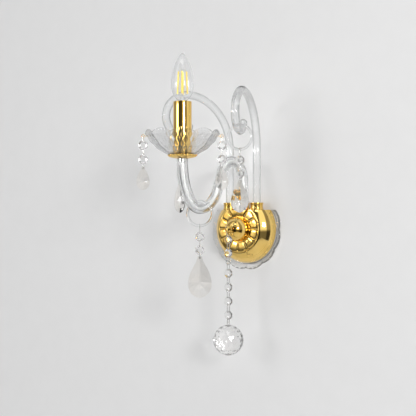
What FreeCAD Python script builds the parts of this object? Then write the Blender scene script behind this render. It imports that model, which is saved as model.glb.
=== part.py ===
import FreeCAD, Part
import math
import os
import Sketcher
from FreeCAD import Rotation, Vector

# Crystal wall sconce: a gilt half-bowl on the wall, two glass crooks, and a glass arm with one candle.
# Frame: origin on the wall at the middle of the base, X to the right, Y into the wall, Z up.
# "Reach" is a distance out from the wall, along -Y.

doc = FreeCAD.newDocument("wall_sconce")
sheet = doc.addObject("Spreadsheet::Sheet", "dims")

sizes = [
    # wall bracket and centre rod
    ("bracket_length", 80), ("bracket_width", 34), ("bracket_sheet", 2),
    ("slot_spacing", 60), ("slot_length", 14), ("slot_width", 4.5),
    ("rod_diameter", 8), ("rod_nut_flats", 13), ("rod_nut_height", 5),
    ("terminal_length", 26), ("terminal_height", 9), ("terminal_depth", 12), ("terminal_screw", 3.6),
    ("terminal_pitch", 8), ("earth_screw_head", 7), ("earth_screw_side", 14), ("earth_screw_rise", 9.5),
    # glass dish behind the base
    ("dish_radius", 68.5), ("dish_notch", 2.6), ("dish_glass", 3.6), ("dish_recess", 2.5),
    ("dish_opening", 22), ("dish_lip", 5), ("dish_foot", 8),
    # gilt base
    ("flat_height", 32), ("bowl_radius", 57), ("bowl_depth", 36), ("bowl_front", 25.4),
    ("bowl_sheet", 1.2), ("rosette_radius", 38.5), ("rosette_notch", 2.4), ("rosette_edge", 0.9),
    ("rosette_sheet", 1.2), ("petal_swell", 2.6), ("boss_radius", 20.5), ("boss_depth", 23.8),
    ("boss_crown", 1), ("boss_sheet", 1.2),
    ("finial_radius", 6.6), ("finial_length", 9.6), ("finial_socket", 3),
    ("eye_radius", 2.2), ("eye_wire", 1.5), ("eye_reach", 5.5), ("eye_clear", 1.8),
    # collars on the flat top
    ("collar_diameter", 22), ("collar_height", 12), ("collar_floor", 2), ("collar_spacing", 26.7),
    ("collar_reach", 17.5), ("stud_diameter", 10), ("stud_length", 8), ("stud_bore", 6.4),
    ("nut_flats", 14), ("nut_height", 4),
    # glass crooks: straight rise above the collar, then bends of falling radius
    ("crook_diameter", 13), ("crook_rise", 89), ("crook_fan", 17.5), ("crook_crown", 86),
    ("crook_shoulder", 50), ("crook_side", 33), ("crook_hook", 27), ("crook_curl", 20), ("crook_tip", 70),
    # glass arm
    ("arm_diameter", 17), ("arm_bore", 8), ("arm_top", 111), ("arch_radius", 33), ("arm_slope", 65),
    ("valley_height", 33.5), ("valley_radius", 54), ("valley_rise_radius", 33), ("valley_rise", 50),
    ("arm_end_straight", 8), ("candle_reach", 187.6), ("cable_diameter", 5),
    # candle cup, bobeche and sleeve
    ("cup_height", 109), ("cup_radius", 23), ("cup_depth", 5.6), ("cup_floor", 1.2), ("arm_seat", 3),
    ("dish_wall", 3.2), ("bobeche_radius", 57), ("bobeche_tip", 33), ("bobeche_arch", 6),
    ("bobeche_base", 17.5), ("pin_drop", 3), ("pin_wire", 0.9),
    ("sleeve_diameter", 28), ("sleeve_wall", 1), ("sleeve_length", 79.2),
    ("holder_diameter", 23), ("holder_length", 72), ("socket_depth", 22),
    # bulb
    ("cap_diameter", 13.9), ("cap_wall", 0.5), ("cap_height", 17), ("contact_height", 2),
    ("insulator_height", 4), ("bulb_diameter", 35), ("bulb_length", 97.4), ("bulb_glass", 0.8),
    ("bulb_belly", 49), ("stick_length", 34), ("stick_diameter", 2.4), ("stick_circle", 7.6),
    ("stick_base", 35.2), ("stem_diameter", 7), ("wire_diameter", 0.7),
    # hanging crystal
    ("ring_diameter", 42), ("ring_wire", 4), ("bead_width", 14), ("bead_thick", 6), ("bead_edge", 2),
    ("bead_hole", 1.8), ("bead_inset", 2), ("bead_pitch", 21), ("link_wire", 1), ("link_width", 6.2),
    ("link_corner", 1.4), ("hook_drop_length", 50), ("arm_drop_length", 65), ("small_drop_length", 36),
    ("drop_share", 0.56), ("drop_thick_share", 0.24), ("drop_hole_inset", 4), ("first_bead", 17),
    ("cup_first_bead", 12), ("chain_first_bead", 9), ("arm_string_turn", 35),
    ("chain_pitch", 21.5), ("lower_pitch", 22.8), ("joint_ring_radius", 4), ("joint_ring_wire", 1.4),
    ("joint_link_rise", 5.6), ("joint_link_drop", 14.2), ("ball_link_length", 10.5),
    ("ball_diameter", 50), ("ball_pin_depth", 8), ("seat_gap", 0.3),
]
for row, (alias, number) in enumerate(sizes, 1):
    sheet.set("A%d" % row, alias.replace("_", " "))
    sheet.set("B%d" % row, str(number))
    sheet.setAlias("B%d" % row, alias)
doc.recompute()

nodes = {}


def value(expression):
    """Number that an expression over the sheet's names stands for."""
    return float(sheet.evalExpression(str(expression)))


def bind(item, **expressions):
    """Tie properties of a document object to the sheet."""
    for name, expression in expressions.items():
        item.setExpression(name, str(expression))


def place(item, x="0", y="0", z="0", turn=None):
    """Fix an object's rotation and tie its position to the sheet."""
    if turn is not None:
        item.Placement = FreeCAD.Placement(Vector(0, 0, 0), turn)
    for axis, expression in (("x", x), ("y", y), ("z", z)):
        item.setExpression("Placement.Base." + axis, str(expression))
    return item


def node(item, name):
    """Mark an object as a finished piece under its own name."""
    item.Label = name
    nodes[name] = item
    return item


out_from_wall = Rotation(Vector(1, 0, 0), 90)
upright = Rotation()


def cylinder(name, radius, height, x="0", y="0", z="0", turn=upright):
    item = doc.addObject("Part::Cylinder", name)
    bind(item, Radius=radius, Height=height)
    return place(item, x, y, z, turn)


def box(name, length, width, height, x="0", y="0", z="0"):
    item = doc.addObject("Part::Box", name)
    bind(item, Length=length, Width=width, Height=height)
    return place(item, x, y, z)


def torus(name, ring, wire, x="0", y="0", z="0", turn=upright):
    item = doc.addObject("Part::Torus", name)
    bind(item, Radius1=ring, Radius2=wire)
    return place(item, x, y, z, turn)


def cut(name, base, tool):
    item = doc.addObject("Part::Cut", name)
    item.Base = base
    item.Tool = tool
    return item


def common(name, base, tool):
    item = doc.addObject("Part::Common", name)
    item.Base = base
    item.Tool = tool
    return item


def fuse(name, pieces):
    item = doc.addObject("Part::MultiFuse", name)
    item.Shapes = pieces
    return item


def group(name, pieces):
    item = doc.addObject("Part::Compound", name)
    item.Links = pieces
    return item


def settled(shape):
    """The same shape with its own offset written into its geometry."""
    offset = shape.Placement.toMatrix()
    bare = shape.copy()
    bare.Placement = FreeCAD.Placement()
    bare.transformShape(offset, True)
    return bare


def solid(name, shape, x="0", y="0", z="0", turn=upright):
    """A piece whose form is worked out point by point; its place is still tied to the sheet."""
    item = doc.addObject("Part::Feature", name)
    item.Shape = settled(shape)
    return place(item, x, y, z, turn)


def turned(name, outline, x="0", y="0", z="0", turn=upright):
    """A body of revolution. The outline is a closed list of (radius, height) expressions."""
    body = doc.addObject("PartDesign::Body", name)
    sketch = body.newObject("Sketcher::SketchObject", name + "_outline")
    front = [item for item in body.Origin.OriginFeatures if item.Role == "XZ_Plane"][0]
    sketch.AttachmentSupport = [(front, "")]
    sketch.MapMode = "FlatFace"
    corners = [(value(radius), value(height)) for radius, height in outline]
    count = len(corners)
    for index in range(count):
        start = Vector(*corners[index], 0)
        end = Vector(*corners[(index + 1) % count], 0)
        sketch.addGeometry(Part.LineSegment(start, end), False)
    for index in range(count):
        sketch.addConstraint(Sketcher.Constraint("Coincident", index, 2, (index + 1) % count, 1))
    for index in range(count):
        for way, side in (("DistanceX", 0), ("DistanceY", 1)):
            constraint = Sketcher.Constraint(way, -1, 1, index, 1, corners[index][side])
            number = sketch.addConstraint(constraint)
            expression = outline[index][side]
            if "dims." in expression:
                sketch.setExpression("Constraints[%d]" % number, expression)
    turning = body.newObject("PartDesign::Revolution", name + "_turned")
    turning.Profile = sketch
    turning.ReferenceAxis = (sketch, ["V_Axis"])
    turning.Angle = 360
    place(body, x, y, z, turn)
    return body


def hex_nut(name, flats, bore, height, x="0", y="0", z="0", turn=upright):
    """Hexagon across its flats with a plain bore."""
    blank = doc.addObject("Part::Prism", name + "_blank")
    blank.Polygon = 6
    bind(blank, Circumradius="(%s) / sqrt(3)" % flats, Height=height)
    place(blank, x, y, z, turn)
    hole = cylinder(name + "_bore", bore, height, x, y, z, turn)
    return cut(name, blank, hole)


def scalloped(count, notch, swell, depth, first=0.0):
    """Prism whose edge is a ring of outward arcs that meet at notches."""
    step = 2 * math.pi / count
    edges = []
    for index in range(count):
        angles = [math.radians(first) + step * (index + share) for share in (0, 0.5, 1)]
        reaches = (notch, swell, notch)
        points = [Vector(r * math.cos(a), r * math.sin(a), 0) for r, a in zip(reaches, angles)]
        edges.append(Part.Arc(*points).toShape())
    return Part.Face(Part.Wire(edges)).extrude(Vector(0, 0, depth))


def polygon(points):
    return Part.makePolygon(list(points) + [points[0]])


def ring_points(count, radius, height, first=0.0):
    """Corners of a level regular polygon."""
    step = 2 * math.pi / count
    angles = [math.radians(first) + step * index for index in range(count)]
    return [Vector(radius * math.cos(a), radius * math.sin(a), height) for a in angles]


def faceted(levels):
    """Flat-sided solid through polygons that have the same number of corners."""
    return Part.makeLoft([polygon(points) for points in levels], True, True)


def flat_sided(faces):
    """Solid closed by flat faces, each given by its corners."""
    body = Part.makeSolid(Part.makeShell([Part.Face(polygon(corners)) for corners in faces]))
    if body.Volume < 0:
        body.reverse()
    return body


def gem(rings):
    """Solid of triangles between level rings of corners, each ring half a step round from the last."""
    count = len(rings[0])
    faces = []
    for index, (below, above) in enumerate(zip(rings, rings[1:])):
        ahead = index % 2
        for k in range(count):
            after = (k + 1) % count
            faces.append((below[k], below[after], above[(k + ahead) % count]))
            faces.append((above[k], above[after], below[(k + 1 - ahead) % count]))
    return flat_sided(faces + [rings[0], rings[-1]])


# Bent rods: a path in an upright plane, as (reach, height), from straight runs and tangent arcs.
def bent_path(start, steps):
    """Edges and end point of a path that starts upward."""
    reach, height = start
    heading = 90.0
    edges = []

    def point(s, z):
        return Vector(0, -s, z)

    for step in steps:
        if step[0] == "run":
            length = step[1]
            end = (reach + length * math.cos(math.radians(heading)),
                   height + length * math.sin(math.radians(heading)))
            edges.append(Part.LineSegment(point(reach, height), point(*end)).toShape())
            reach, height = end
            continue
        radius, turn = step[1:]
        side = -90 if turn > 0 else 90
        to_centre = math.radians(heading + side)
        centre = (reach + radius * math.cos(to_centre), height + radius * math.sin(to_centre))
        marks = []
        for share in (0, 0.5, 1):
            spoke = math.radians(heading - turn * share - side)
            marks.append((centre[0] + radius * math.cos(spoke), centre[1] + radius * math.sin(spoke)))
        edges.append(Part.Arc(*[point(*mark) for mark in marks]).toShape())
        reach, height = marks[2]
        heading -= turn
    return edges, (reach, height)


def rod_along(edges, radius):
    """Round rod along a path of tangent edges."""
    first = edges[0]
    start = first.valueAt(first.FirstParameter)
    heading = first.tangentAt(first.FirstParameter)
    section = Part.Wire([Part.Circle(start, heading, radius).toShape()])
    path = Part.Wire(edges)
    rod = path.makePipeShell([section], True, False)
    expected = math.pi * radius ** 2 * path.Length
    if abs(rod.Volume - expected) > 0.01 * expected:
        raise ValueError("rod volume %.1f, expected %.1f" % (rod.Volume, expected))
    return rod


def rounded_loop(width, top, bottom, corner, wire):
    """Wire loop in the plane of thickness (Y) and height, with round corners."""
    half = width / 2
    inner = half - corner
    diagonal = corner * (1 - math.sqrt(0.5))
    spots = [(-inner, top), (inner, top), (half, top - corner), (half, bottom + corner),
             (inner, bottom), (-inner, bottom), (-half, bottom + corner), (-half, top - corner)]
    elbows = [(half - diagonal, top - diagonal), (half - diagonal, bottom + diagonal),
              (-half + diagonal, bottom + diagonal), (-half + diagonal, top - diagonal)]
    edges = []
    for index in range(4):
        start, end, after = (Vector(0, *spots[(2 * index + k) % 8]) for k in range(3))
        edges.append(Part.LineSegment(start, end).toShape())
        edges.append(Part.Arc(end, Vector(0, *elbows[index]), after).toShape())
    middle = Vector(0, 0, top)
    halves = [Part.LineSegment(middle, Vector(0, inner, top)).toShape()] + edges[1:]
    halves.append(Part.LineSegment(Vector(0, -inner, top), middle).toShape())
    section = Part.Wire([Part.Circle(middle, Vector(0, 1, 0), wire / 2).toShape()])
    return Part.Wire(halves).makePipeShell([section], True, False)


# ---- places that several pieces share
bowl_seat = "(dims.dish_recess + dims.dish_glass)"
bowl_nose = "(%s + dims.bowl_front)" % bowl_seat
boss_seat = "(%s + dims.rosette_sheet)" % bowl_nose
finial_seat = "(%s + dims.boss_depth)" % boss_seat
socket_floor = "(dims.flat_height + dims.collar_floor)"
collar_y = "-dims.collar_reach"
candle_y = "-dims.candle_reach"
chain_reach = "(%s + dims.eye_reach)" % finial_seat
eye_drop = "(dims.finial_radius + dims.eye_clear)"


# ---- base on the wall
def wall_bracket():
    plate = box("bracket_plate", "dims.bracket_length", "dims.bracket_sheet", "dims.bracket_width",
                "-dims.bracket_length / 2", "-dims.bracket_sheet", "-dims.bracket_width / 2")
    tools = [cylinder("rod_hole", "dims.rod_diameter / 2", "dims.bracket_sheet", turn=out_from_wall),
             cylinder("earth_hole", "dims.earth_screw_head / 4", "dims.bracket_sheet",
                      "dims.earth_screw_side", "0", "dims.earth_screw_rise", out_from_wall)]
    for side in (-1, 1):
        middle = "%d * dims.slot_spacing / 2" % side
        half_run = "(dims.slot_length - dims.slot_width) / 2"
        tools.append(box("slot_run", "dims.slot_length - dims.slot_width", "dims.bracket_sheet",
                         "dims.slot_width", "%s - %s" % (middle, half_run), "-dims.bracket_sheet",
                         "-dims.slot_width / 2"))
        for end in (-1, 1):
            tools.append(cylinder("slot_end", "dims.slot_width / 2", "dims.bracket_sheet",
                                  "%s + %d * %s" % (middle, end, half_run), turn=out_from_wall))
    node(cut("bracket", plate, fuse("bracket_holes", tools)), "wall_bracket")


def centre_rod():
    length = "%s + dims.finial_socket" % finial_seat
    rod = cylinder("rod", "dims.rod_diameter / 2", length, turn=out_from_wall)
    node(rod, "centre_rod")
    nut = hex_nut("rod_nut", "dims.rod_nut_flats", "dims.rod_diameter / 2", "dims.rod_nut_height",
                  y="-dims.bracket_sheet", turn=out_from_wall)
    node(nut, "rod_nut")


def terminals():
    middle = "(-dims.bracket_width / 2 + dims.terminal_height / 2)"
    block = box("block", "dims.terminal_length", "dims.terminal_depth", "dims.terminal_height",
                "-dims.terminal_length / 2", "-dims.bracket_sheet - dims.terminal_depth",
                "-dims.bracket_width / 2")
    front = "-dims.bracket_sheet - dims.terminal_depth"
    wells = []
    screws = []
    for index in (-1, 0, 1):
        across = "%d * dims.terminal_pitch" % index
        wells.append(cylinder("screw_well", "dims.terminal_screw / 2 + 0.3", "4", across,
                              "%s + 4" % front, middle, out_from_wall))
        screws.append(cylinder("terminal_screw", "dims.terminal_screw / 2", "3", across,
                               "%s + 4" % front, middle, out_from_wall))
    node(cut("terminal_body", block, fuse("screw_wells", wells)), "terminal_block")
    node(group("terminal_screw_set", screws), "terminal_screws")
    head = cylinder("earth_head", "dims.earth_screw_head / 2", "2.4", "dims.earth_screw_side",
                    "-dims.bracket_sheet", "dims.earth_screw_rise", out_from_wall)
    shank = cylinder("earth_shank", "dims.earth_screw_head / 4", "dims.bracket_sheet",
                     "dims.earth_screw_side", "0", "dims.earth_screw_rise", out_from_wall)
    node(fuse("earth_screw_body", [head, shank]), "earth_screw")


dish_scallops = 12
rosette_lobes = 12
cup_flutes = 20


def glass_dish():
    foot = "(dims.bowl_radius - dims.dish_foot)"
    outline = [
        ("dims.dish_opening", "dims.dish_recess"),
        (foot + " - dims.dish_recess", "dims.dish_recess"),
        (foot, "0"),
        ("dims.bowl_radius", "0"),
        ("dims.dish_radius - 4", "dims.dish_lip - 1"),
        ("dims.dish_radius", "dims.dish_lip + dims.dish_glass"),
        ("dims.dish_radius", bowl_seat + " + dims.dish_lip - 1.6"),
        ("dims.dish_radius - 2", bowl_seat + " + dims.dish_lip"),
        ("dims.dish_radius - 6", bowl_seat + " + 1.6"),
        ("dims.bowl_radius + 1", bowl_seat),
        ("dims.dish_opening", bowl_seat),
    ]
    disc = turned("dish_disc", outline, turn=out_from_wall)
    reach = value(bowl_seat + " + dims.dish_lip")
    notch = value("dims.dish_radius - dims.dish_notch")
    edge = scalloped(dish_scallops, notch, value("dims.dish_radius"), reach)
    scallops = solid("dish_scallops", edge, turn=out_from_wall)
    above = box("above_dish", "2 * dims.dish_radius", "2 * dims.dish_radius", "dims.dish_radius",
                "-dims.dish_radius", "-dims.dish_radius", "dims.flat_height")
    node(cut("dish", common("dish_edge", disc, scallops), above), "glass_dish")


def gold_bowl():
    """Half ellipsoid of sheet with a flat top and a flat front."""
    def half(name, sheet_in):
        item = doc.addObject("Part::Ellipsoid", name)
        bind(item, Radius1="dims.bowl_depth" + sheet_in, Radius2="dims.bowl_radius" + sheet_in,
             Radius3="dims.bowl_radius" + sheet_in)
        place(item, "0", "-" + bowl_seat, "0", out_from_wall)
        room = box(name + "_room", "2 * dims.bowl_radius", "dims.bowl_front" + sheet_in,
                   "dims.bowl_radius + dims.flat_height" + sheet_in, "-dims.bowl_radius",
                   "-(%s%s)" % (bowl_nose, sheet_in), "-dims.bowl_radius")
        return common(name + "_half", item, room)

    shell = cut("bowl_shell", half("bowl_outer", ""), half("bowl_inner", " - dims.bowl_sheet"))
    holes = [cylinder("nose_hole", "dims.rod_diameter / 2", bowl_nose, turn=out_from_wall)]
    for side in (-1, 0, 1):
        holes.append(cylinder("stud_hole", "dims.stud_diameter / 2", "2 * dims.bowl_sheet",
                              "%d * dims.collar_spacing" % side, collar_y,
                              "dims.flat_height - 1.5 * dims.bowl_sheet"))
    node(cut("bowl", shell, fuse("bowl_holes", holes)), "gold_bowl")


def rosette_and_boss():
    edge = "dims.rosette_radius"
    petal = bowl_nose + " + dims.petal_swell"
    outline = [
        ("dims.rod_diameter / 2", bowl_nose),
        (edge, bowl_nose),
        (edge, bowl_nose + " + dims.rosette_edge"),
        (edge + " - 2.5", petal),
        ("dims.boss_radius + 3", petal),
        ("dims.boss_radius + 0.6", boss_seat),
        ("dims.rod_diameter / 2", boss_seat),
    ]
    disc = turned("rosette_disc", outline, turn=out_from_wall)
    edge_solid = scalloped(rosette_lobes, value("dims.rosette_radius - dims.rosette_notch"),
                           value("dims.rosette_radius"), value(finial_seat))
    petals = solid("rosette_petals", edge_solid, turn=out_from_wall)
    above = box("above_rosette", "2 * dims.rosette_radius", finial_seat, "dims.rosette_radius",
                "-dims.rosette_radius", "-" + finial_seat, "dims.flat_height")
    node(cut("rosette_body", common("rosette_flower", disc, petals), above), "rosette")

    def dome(name, depth, radius):
        item = doc.addObject("Part::Ellipsoid", name)
        bind(item, Radius1=depth, Radius2=radius, Radius3=radius)
        return place(item, "0", "-" + boss_seat, "0", out_from_wall)

    crown = "dims.boss_depth + dims.boss_crown"
    outer = dome("boss_outside", crown, "dims.boss_radius")
    inner = dome("boss_inside", crown + " - 2 * dims.boss_sheet", "dims.boss_radius - dims.boss_sheet")
    room = box("boss_room", "2 * dims.boss_radius", "dims.boss_depth", "2 * dims.boss_radius",
               "-dims.boss_radius", "-" + finial_seat, "-dims.boss_radius")
    bore = cylinder("boss_bore", "dims.rod_diameter / 2", finial_seat, turn=out_from_wall)
    hollow = fuse("boss_hollow", [inner, bore])
    node(cut("boss", common("boss_cap_dome", outer, room), hollow), "boss_cap")


def finial():
    outline = [
        ("0", "dims.finial_socket"),
        ("dims.rod_diameter / 2", "dims.finial_socket"),
        ("dims.rod_diameter / 2", "0"),
        ("dims.finial_radius", "0"),
        ("dims.finial_radius", "1.2"),
        ("dims.finial_radius - 1.6", "2.2"),
        ("dims.finial_radius - 1.8", "3"),
        ("dims.finial_radius - 0.9", "4.6"),
        ("dims.finial_radius - 0.9", "6.4"),
        ("dims.finial_radius - 2.6", "dims.finial_length - 1"),
        ("dims.finial_radius - 4.6", "dims.finial_length"),
        ("0", "dims.finial_length"),
    ]
    knob = turned("finial_knob", outline, y="-" + finial_seat, turn=out_from_wall)
    eye = torus("finial_eye", "dims.eye_radius", "dims.eye_wire / 2", y="-" + chain_reach,
                z="-%s + dims.eye_radius" % eye_drop, turn=out_from_wall)
    node(fuse("finial_body", [knob, eye]), "finial")


# ---- collars, crooks and arm
def collars():
    nuts = []
    for side, name in ((-1, "left"), (0, "centre"), (1, "right")):
        rod = "dims.arm_diameter" if side == 0 else "dims.crook_diameter"
        across = "%d * dims.collar_spacing" % side
        outside = "dims.collar_diameter / 2"
        outline = [
            ("dims.stud_bore / 2", "0"),
            ("dims.stud_diameter / 2", "0"),
            ("dims.stud_diameter / 2", "dims.stud_length"),
            (outside, "dims.stud_length"),
            (outside, "dims.stud_length + 2.2"),
            (outside + " - 0.7", "dims.stud_length + 3"),
            (outside + " - 0.7", "dims.stud_length + dims.collar_height - 3"),
            (outside, "dims.stud_length + dims.collar_height - 2.2"),
            (outside, "dims.stud_length + dims.collar_height"),
            (rod + " / 2", "dims.stud_length + dims.collar_height"),
            (rod + " / 2", "dims.stud_length + dims.collar_floor"),
            ("dims.stud_bore / 2", "dims.stud_length + dims.collar_floor"),
        ]
        collar = turned("collar_" + name + "_body", outline, across, collar_y,
                        "dims.flat_height - dims.stud_length")
        node(collar, "collar_" + name)
        nuts.append(hex_nut("collar_nut_" + name, "dims.nut_flats", "dims.stud_diameter / 2",
                            "dims.nut_height", across, collar_y,
                            "dims.flat_height - dims.bowl_sheet - dims.nut_height"))
    node(group("collar_nut_set", nuts), "collar_nuts")


def crook_steps():
    sides = [("crook_crown", 90), ("crook_shoulder", 45), ("crook_side", 45), ("crook_hook", 90)]
    rise = value("dims.collar_height - dims.collar_floor + dims.crook_rise")
    steps = [("run", rise)] + [("bend", value("dims." + name), turn) for name, turn in sides]
    return steps + [("bend", value("dims.crook_curl"), value("dims.crook_tip"))]


def crook_low_point():
    """Reach from the collar and height of the hook's lowest centre."""
    return bent_path((0, value(socket_floor)), crook_steps()[:-1])[1]


def crooks():
    edges, tip = bent_path((0, value(socket_floor)), crook_steps())
    radius = value("dims.crook_diameter / 2")
    end = Part.makeSphere(radius, Vector(0, -tip[0], tip[1]))
    rod = rod_along(edges, radius).fuse(end).removeSplitter()
    for side, name in ((-1, "left"), (1, "right")):
        fan = Rotation(Vector(0, 0, 1), side * value("dims.crook_fan"))
        crook = solid("crook_" + name + "_rod", rod, "%d * dims.collar_spacing" % side, collar_y, "0", fan)
        node(crook, "crook_" + name)


def arm_steps():
    """Rise, arch, slope, valley and rise to the candle. The last bend's radius closes the path. It leaves
    the upright end its straight length, and a level run in the valley takes what reach is left. It is no
    tighter than the rise's, and the valley tightens where the reach is too short for that."""
    arch = value("dims.arch_radius")
    slope = math.radians(value("dims.arm_slope"))
    lift = math.radians(value("dims.valley_rise"))
    rise_radius = value("dims.valley_rise_radius")
    foot = value(socket_floor)
    straight = value("dims.arm_top") - arch - foot
    arch_reach = value("dims.collar_reach") + arch * (1 + math.sin(slope))
    arch_height = foot + straight + arch * math.cos(slope)
    fall = arch_height - value("dims.valley_height")
    room = value("dims.candle_reach") - rise_radius - arch_reach - fall / math.tan(slope)
    valley = min(value("dims.valley_radius"), room / math.tan(slope / 2))
    drop = fall - valley * (1 - math.cos(slope))
    run = drop / math.sin(slope)
    low_reach = arch_reach + run * math.cos(slope) + valley * math.sin(slope)
    left = value("dims.candle_reach") - low_reach - rise_radius * math.sin(lift)
    low_end = value("dims.valley_height") + rise_radius * (1 - math.cos(lift))
    end_height = value("dims.cup_height + dims.arm_seat")
    widest = (end_height - value("dims.arm_end_straight") - low_end) / math.cos(lift)
    last = min(left / (1 - math.sin(lift)), widest)
    level = left - last * (1 - math.sin(lift))
    end_run = end_height - low_end - last * math.cos(lift)
    turn = math.degrees(slope)
    steps = [("run", straight), ("bend", arch, 90 + turn), ("run", run), ("bend", valley, -turn),
             ("bend", rise_radius, -math.degrees(lift)), ("bend", last, math.degrees(lift) - 90),
             ("run", end_run)]
    if level > 0.001:
        steps.insert(4, ("run", level))
    return steps, low_reach


def glass_arm():
    start = (value("dims.collar_reach"), value(socket_floor))
    edges, end = bent_path(start, arm_steps()[0])
    outside = rod_along(edges, value("dims.arm_diameter / 2"))
    bore = rod_along(edges, value("dims.arm_bore / 2"))
    nipple_room = Part.makeCylinder(value("dims.stud_diameter / 2"), 8, Vector(0, -end[0], end[1] - 8))
    node(solid("arm_tube", outside.cut(bore).cut(nipple_room)), "s_arm")

    side = value("dims.terminal_length / 2 - dims.cable_diameter / 2")
    entry_reach = value("dims.bracket_sheet + dims.terminal_depth / 2")
    entry = value("-dims.bracket_width / 2 + dims.terminal_height")
    under = Vector(0, -start[0], value("dims.flat_height - dims.stud_length - 6"))
    beside = Vector(side, -entry_reach, entry + 9)
    corners = [Vector(side, -entry_reach, entry), beside, under, Vector(0, -start[0], start[1])]
    lead = rounded_corners(corners, (10, 12))
    holder_floor = value("%s + 10" % holder_base)
    last_run = Part.LineSegment(Vector(0, -end[0], end[1]), Vector(0, -end[0], holder_floor)).toShape()
    cable = rod_along(lead + edges + [last_run], value("dims.cable_diameter / 2"))
    node(solid("cable_in_arm", cable), "arm_cable")


def rounded_corners(corners, radii):
    """Straight runs through corner points, with a tangent arc at each inner corner."""
    edges = []
    last = corners[0]
    for index, radius in enumerate(radii, 1):
        corner = corners[index]
        back = (corners[index - 1] - corner).normalize()
        ahead = (corners[index + 1] - corner).normalize()
        half = back.getAngle(ahead) / 2
        trim = radius / math.tan(half)
        middle = (back + ahead).normalize()
        centre = corner + middle * (radius / math.sin(half))
        begin = corner + back * trim
        finish = corner + ahead * trim
        edges.append(Part.LineSegment(last, begin).toShape())
        edges.append(Part.Arc(begin, centre - middle * radius, finish).toShape())
        last = finish
    edges.append(Part.LineSegment(last, corners[-1]).toShape())
    return edges


# ---- candle: cup, bobeche, sleeve and lampholder
bobeche_seat = "(dims.cup_height + dims.arm_seat + dims.cup_floor)"
bobeche_floor = "(%s + dims.dish_wall)" % bobeche_seat
nut_top = "(%s + dims.nut_height)" % bobeche_floor
holder_base = "(%s + 0.3)" % nut_top


def candle_cup():
    rim = "dims.cup_radius"
    outline = [
        ("dims.stud_diameter / 2", "dims.arm_seat"),
        ("dims.arm_diameter / 2", "dims.arm_seat"),
        ("dims.arm_diameter / 2", "0"),
        ("dims.arm_diameter / 2 + 2", "0"),
        (rim + " - 3", "dims.cup_depth - 3.2"),
        (rim, "dims.cup_depth - 1"),
        (rim, "dims.cup_depth"),
        (rim + " - 1.2", "dims.cup_depth"),
        (rim + " - 4.6", "dims.arm_seat + dims.cup_floor"),
        ("dims.stud_diameter / 2", "dims.arm_seat + dims.cup_floor"),
    ]
    disc = turned("cup_disc", outline, "0", candle_y, "dims.cup_height")
    wide = value("dims.cup_radius")
    edge = scalloped(cup_flutes, wide - 0.9, wide, value("dims.cup_depth"))
    flutes = solid("cup_flutes", edge, "0", candle_y, "dims.cup_height")
    node(common("cup", disc, flutes), "candle_cup")


pin_turns = (-54, 126)
bobeche_sides = 10


def bobeche():
    """Ten-sided bowl. Its corners point at 18 degrees either side of straight ahead, and between them the
    rim rises in an arch."""
    tip = value("dims.bobeche_tip")
    arch = value("dims.bobeche_arch")
    wall = value("dims.dish_wall")
    wide = value("dims.bobeche_radius")
    base = value("dims.bobeche_base")
    over = tip + arch + 1
    outside = [(base, 0), (base + 7, 2.5), (0.69 * wide, 0.34 * tip), (0.87 * wide, 0.66 * tip),
               (wide, tip), (wide + 1, over)]
    inside = [(base - 1.5, wall), (base + 5.5, wall + 2.5), (0.69 * wide - wall, 0.34 * tip + 0.8 * wall),
              (0.87 * wide - wall, 0.66 * tip + 0.5 * wall), (wide - wall, tip),
              (wide + 1 - wall, over + 0.5)]
    outer = faceted([ring_points(bobeche_sides, r, z) for r, z in outside])
    inner = faceted([ring_points(bobeche_sides, r, z) for r, z in inside])
    side = (wide + 1) * math.sin(math.pi / bobeche_sides)
    crown = None
    for index in range(bobeche_sides):
        ends = (Vector(0, -side, tip), Vector(0, side, tip))
        top = Part.Arc(ends[0], Vector(0, 0, tip + arch), ends[1]).toShape()
        low = (Vector(0, side, -1), Vector(0, -side, -1))
        sides = Part.makePolygon([ends[1], low[0], low[1], ends[0]]).Edges
        prism = Part.Face(Part.Wire([top] + sides)).extrude(Vector(wide + 2, 0, 0))
        prism.rotate(Vector(0, 0, 0), Vector(0, 0, 1), 360 / bobeche_sides * (index + 0.5))
        crown = prism if crown is None else crown.fuse(prism)
    bowl = outer.cut(inner).common(crown)
    hole = Part.makeCylinder(value("dims.stud_diameter / 2"), 2 * wall, Vector(0, 0, -wall / 2))
    bowl = bowl.cut(hole)
    for turn in pin_turns:
        out = Rotation(Vector(0, 0, 1), turn - 90).multVec(Vector(1, 0, 0))
        start = Vector(0, 0, tip - value("dims.pin_drop")) + out * (wide - 2 * wall)
        bowl = bowl.cut(Part.makeCylinder(value("dims.pin_wire / 2 + 0.2"), 4 * wall, start, out))
    node(solid("bobeche_bowl", bowl, "0", candle_y, bobeche_seat), "bobeche")


pin_reach = "(dims.bobeche_radius + dims.eye_radius + 0.8)"
pin_height = "(%s + dims.bobeche_tip - dims.pin_drop)" % bobeche_seat


def bobeche_pins():
    """Wire pins through the rim: a head inside, an eye outside for the hanging beads."""
    pins = []
    wire = value("dims.pin_wire / 2")
    eye = value("dims.eye_radius")
    reach = value(pin_reach)
    start = value("dims.bobeche_radius - dims.dish_wall") - 4.8
    for turn in pin_turns:
        shank = Part.makeCylinder(wire, reach - eye - start, Vector(start, 0, 0), Vector(1, 0, 0))
        head = Part.makeCylinder(3 * wire, 1, Vector(start - 0.6, 0, 0), Vector(1, 0, 0))
        ring = Part.makeTorus(eye, wire, Vector(reach, 0, 0), Vector(0, 1, 0))
        pin = shank.fuse(head).fuse(ring)
        turn_out = Rotation(Vector(0, 0, 1), turn - 90)
        pins.append(solid("bobeche_pin", pin, "0", candle_y, pin_height, turn_out))
    node(group("bobeche_pin_set", pins), "bobeche_pins")


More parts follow.
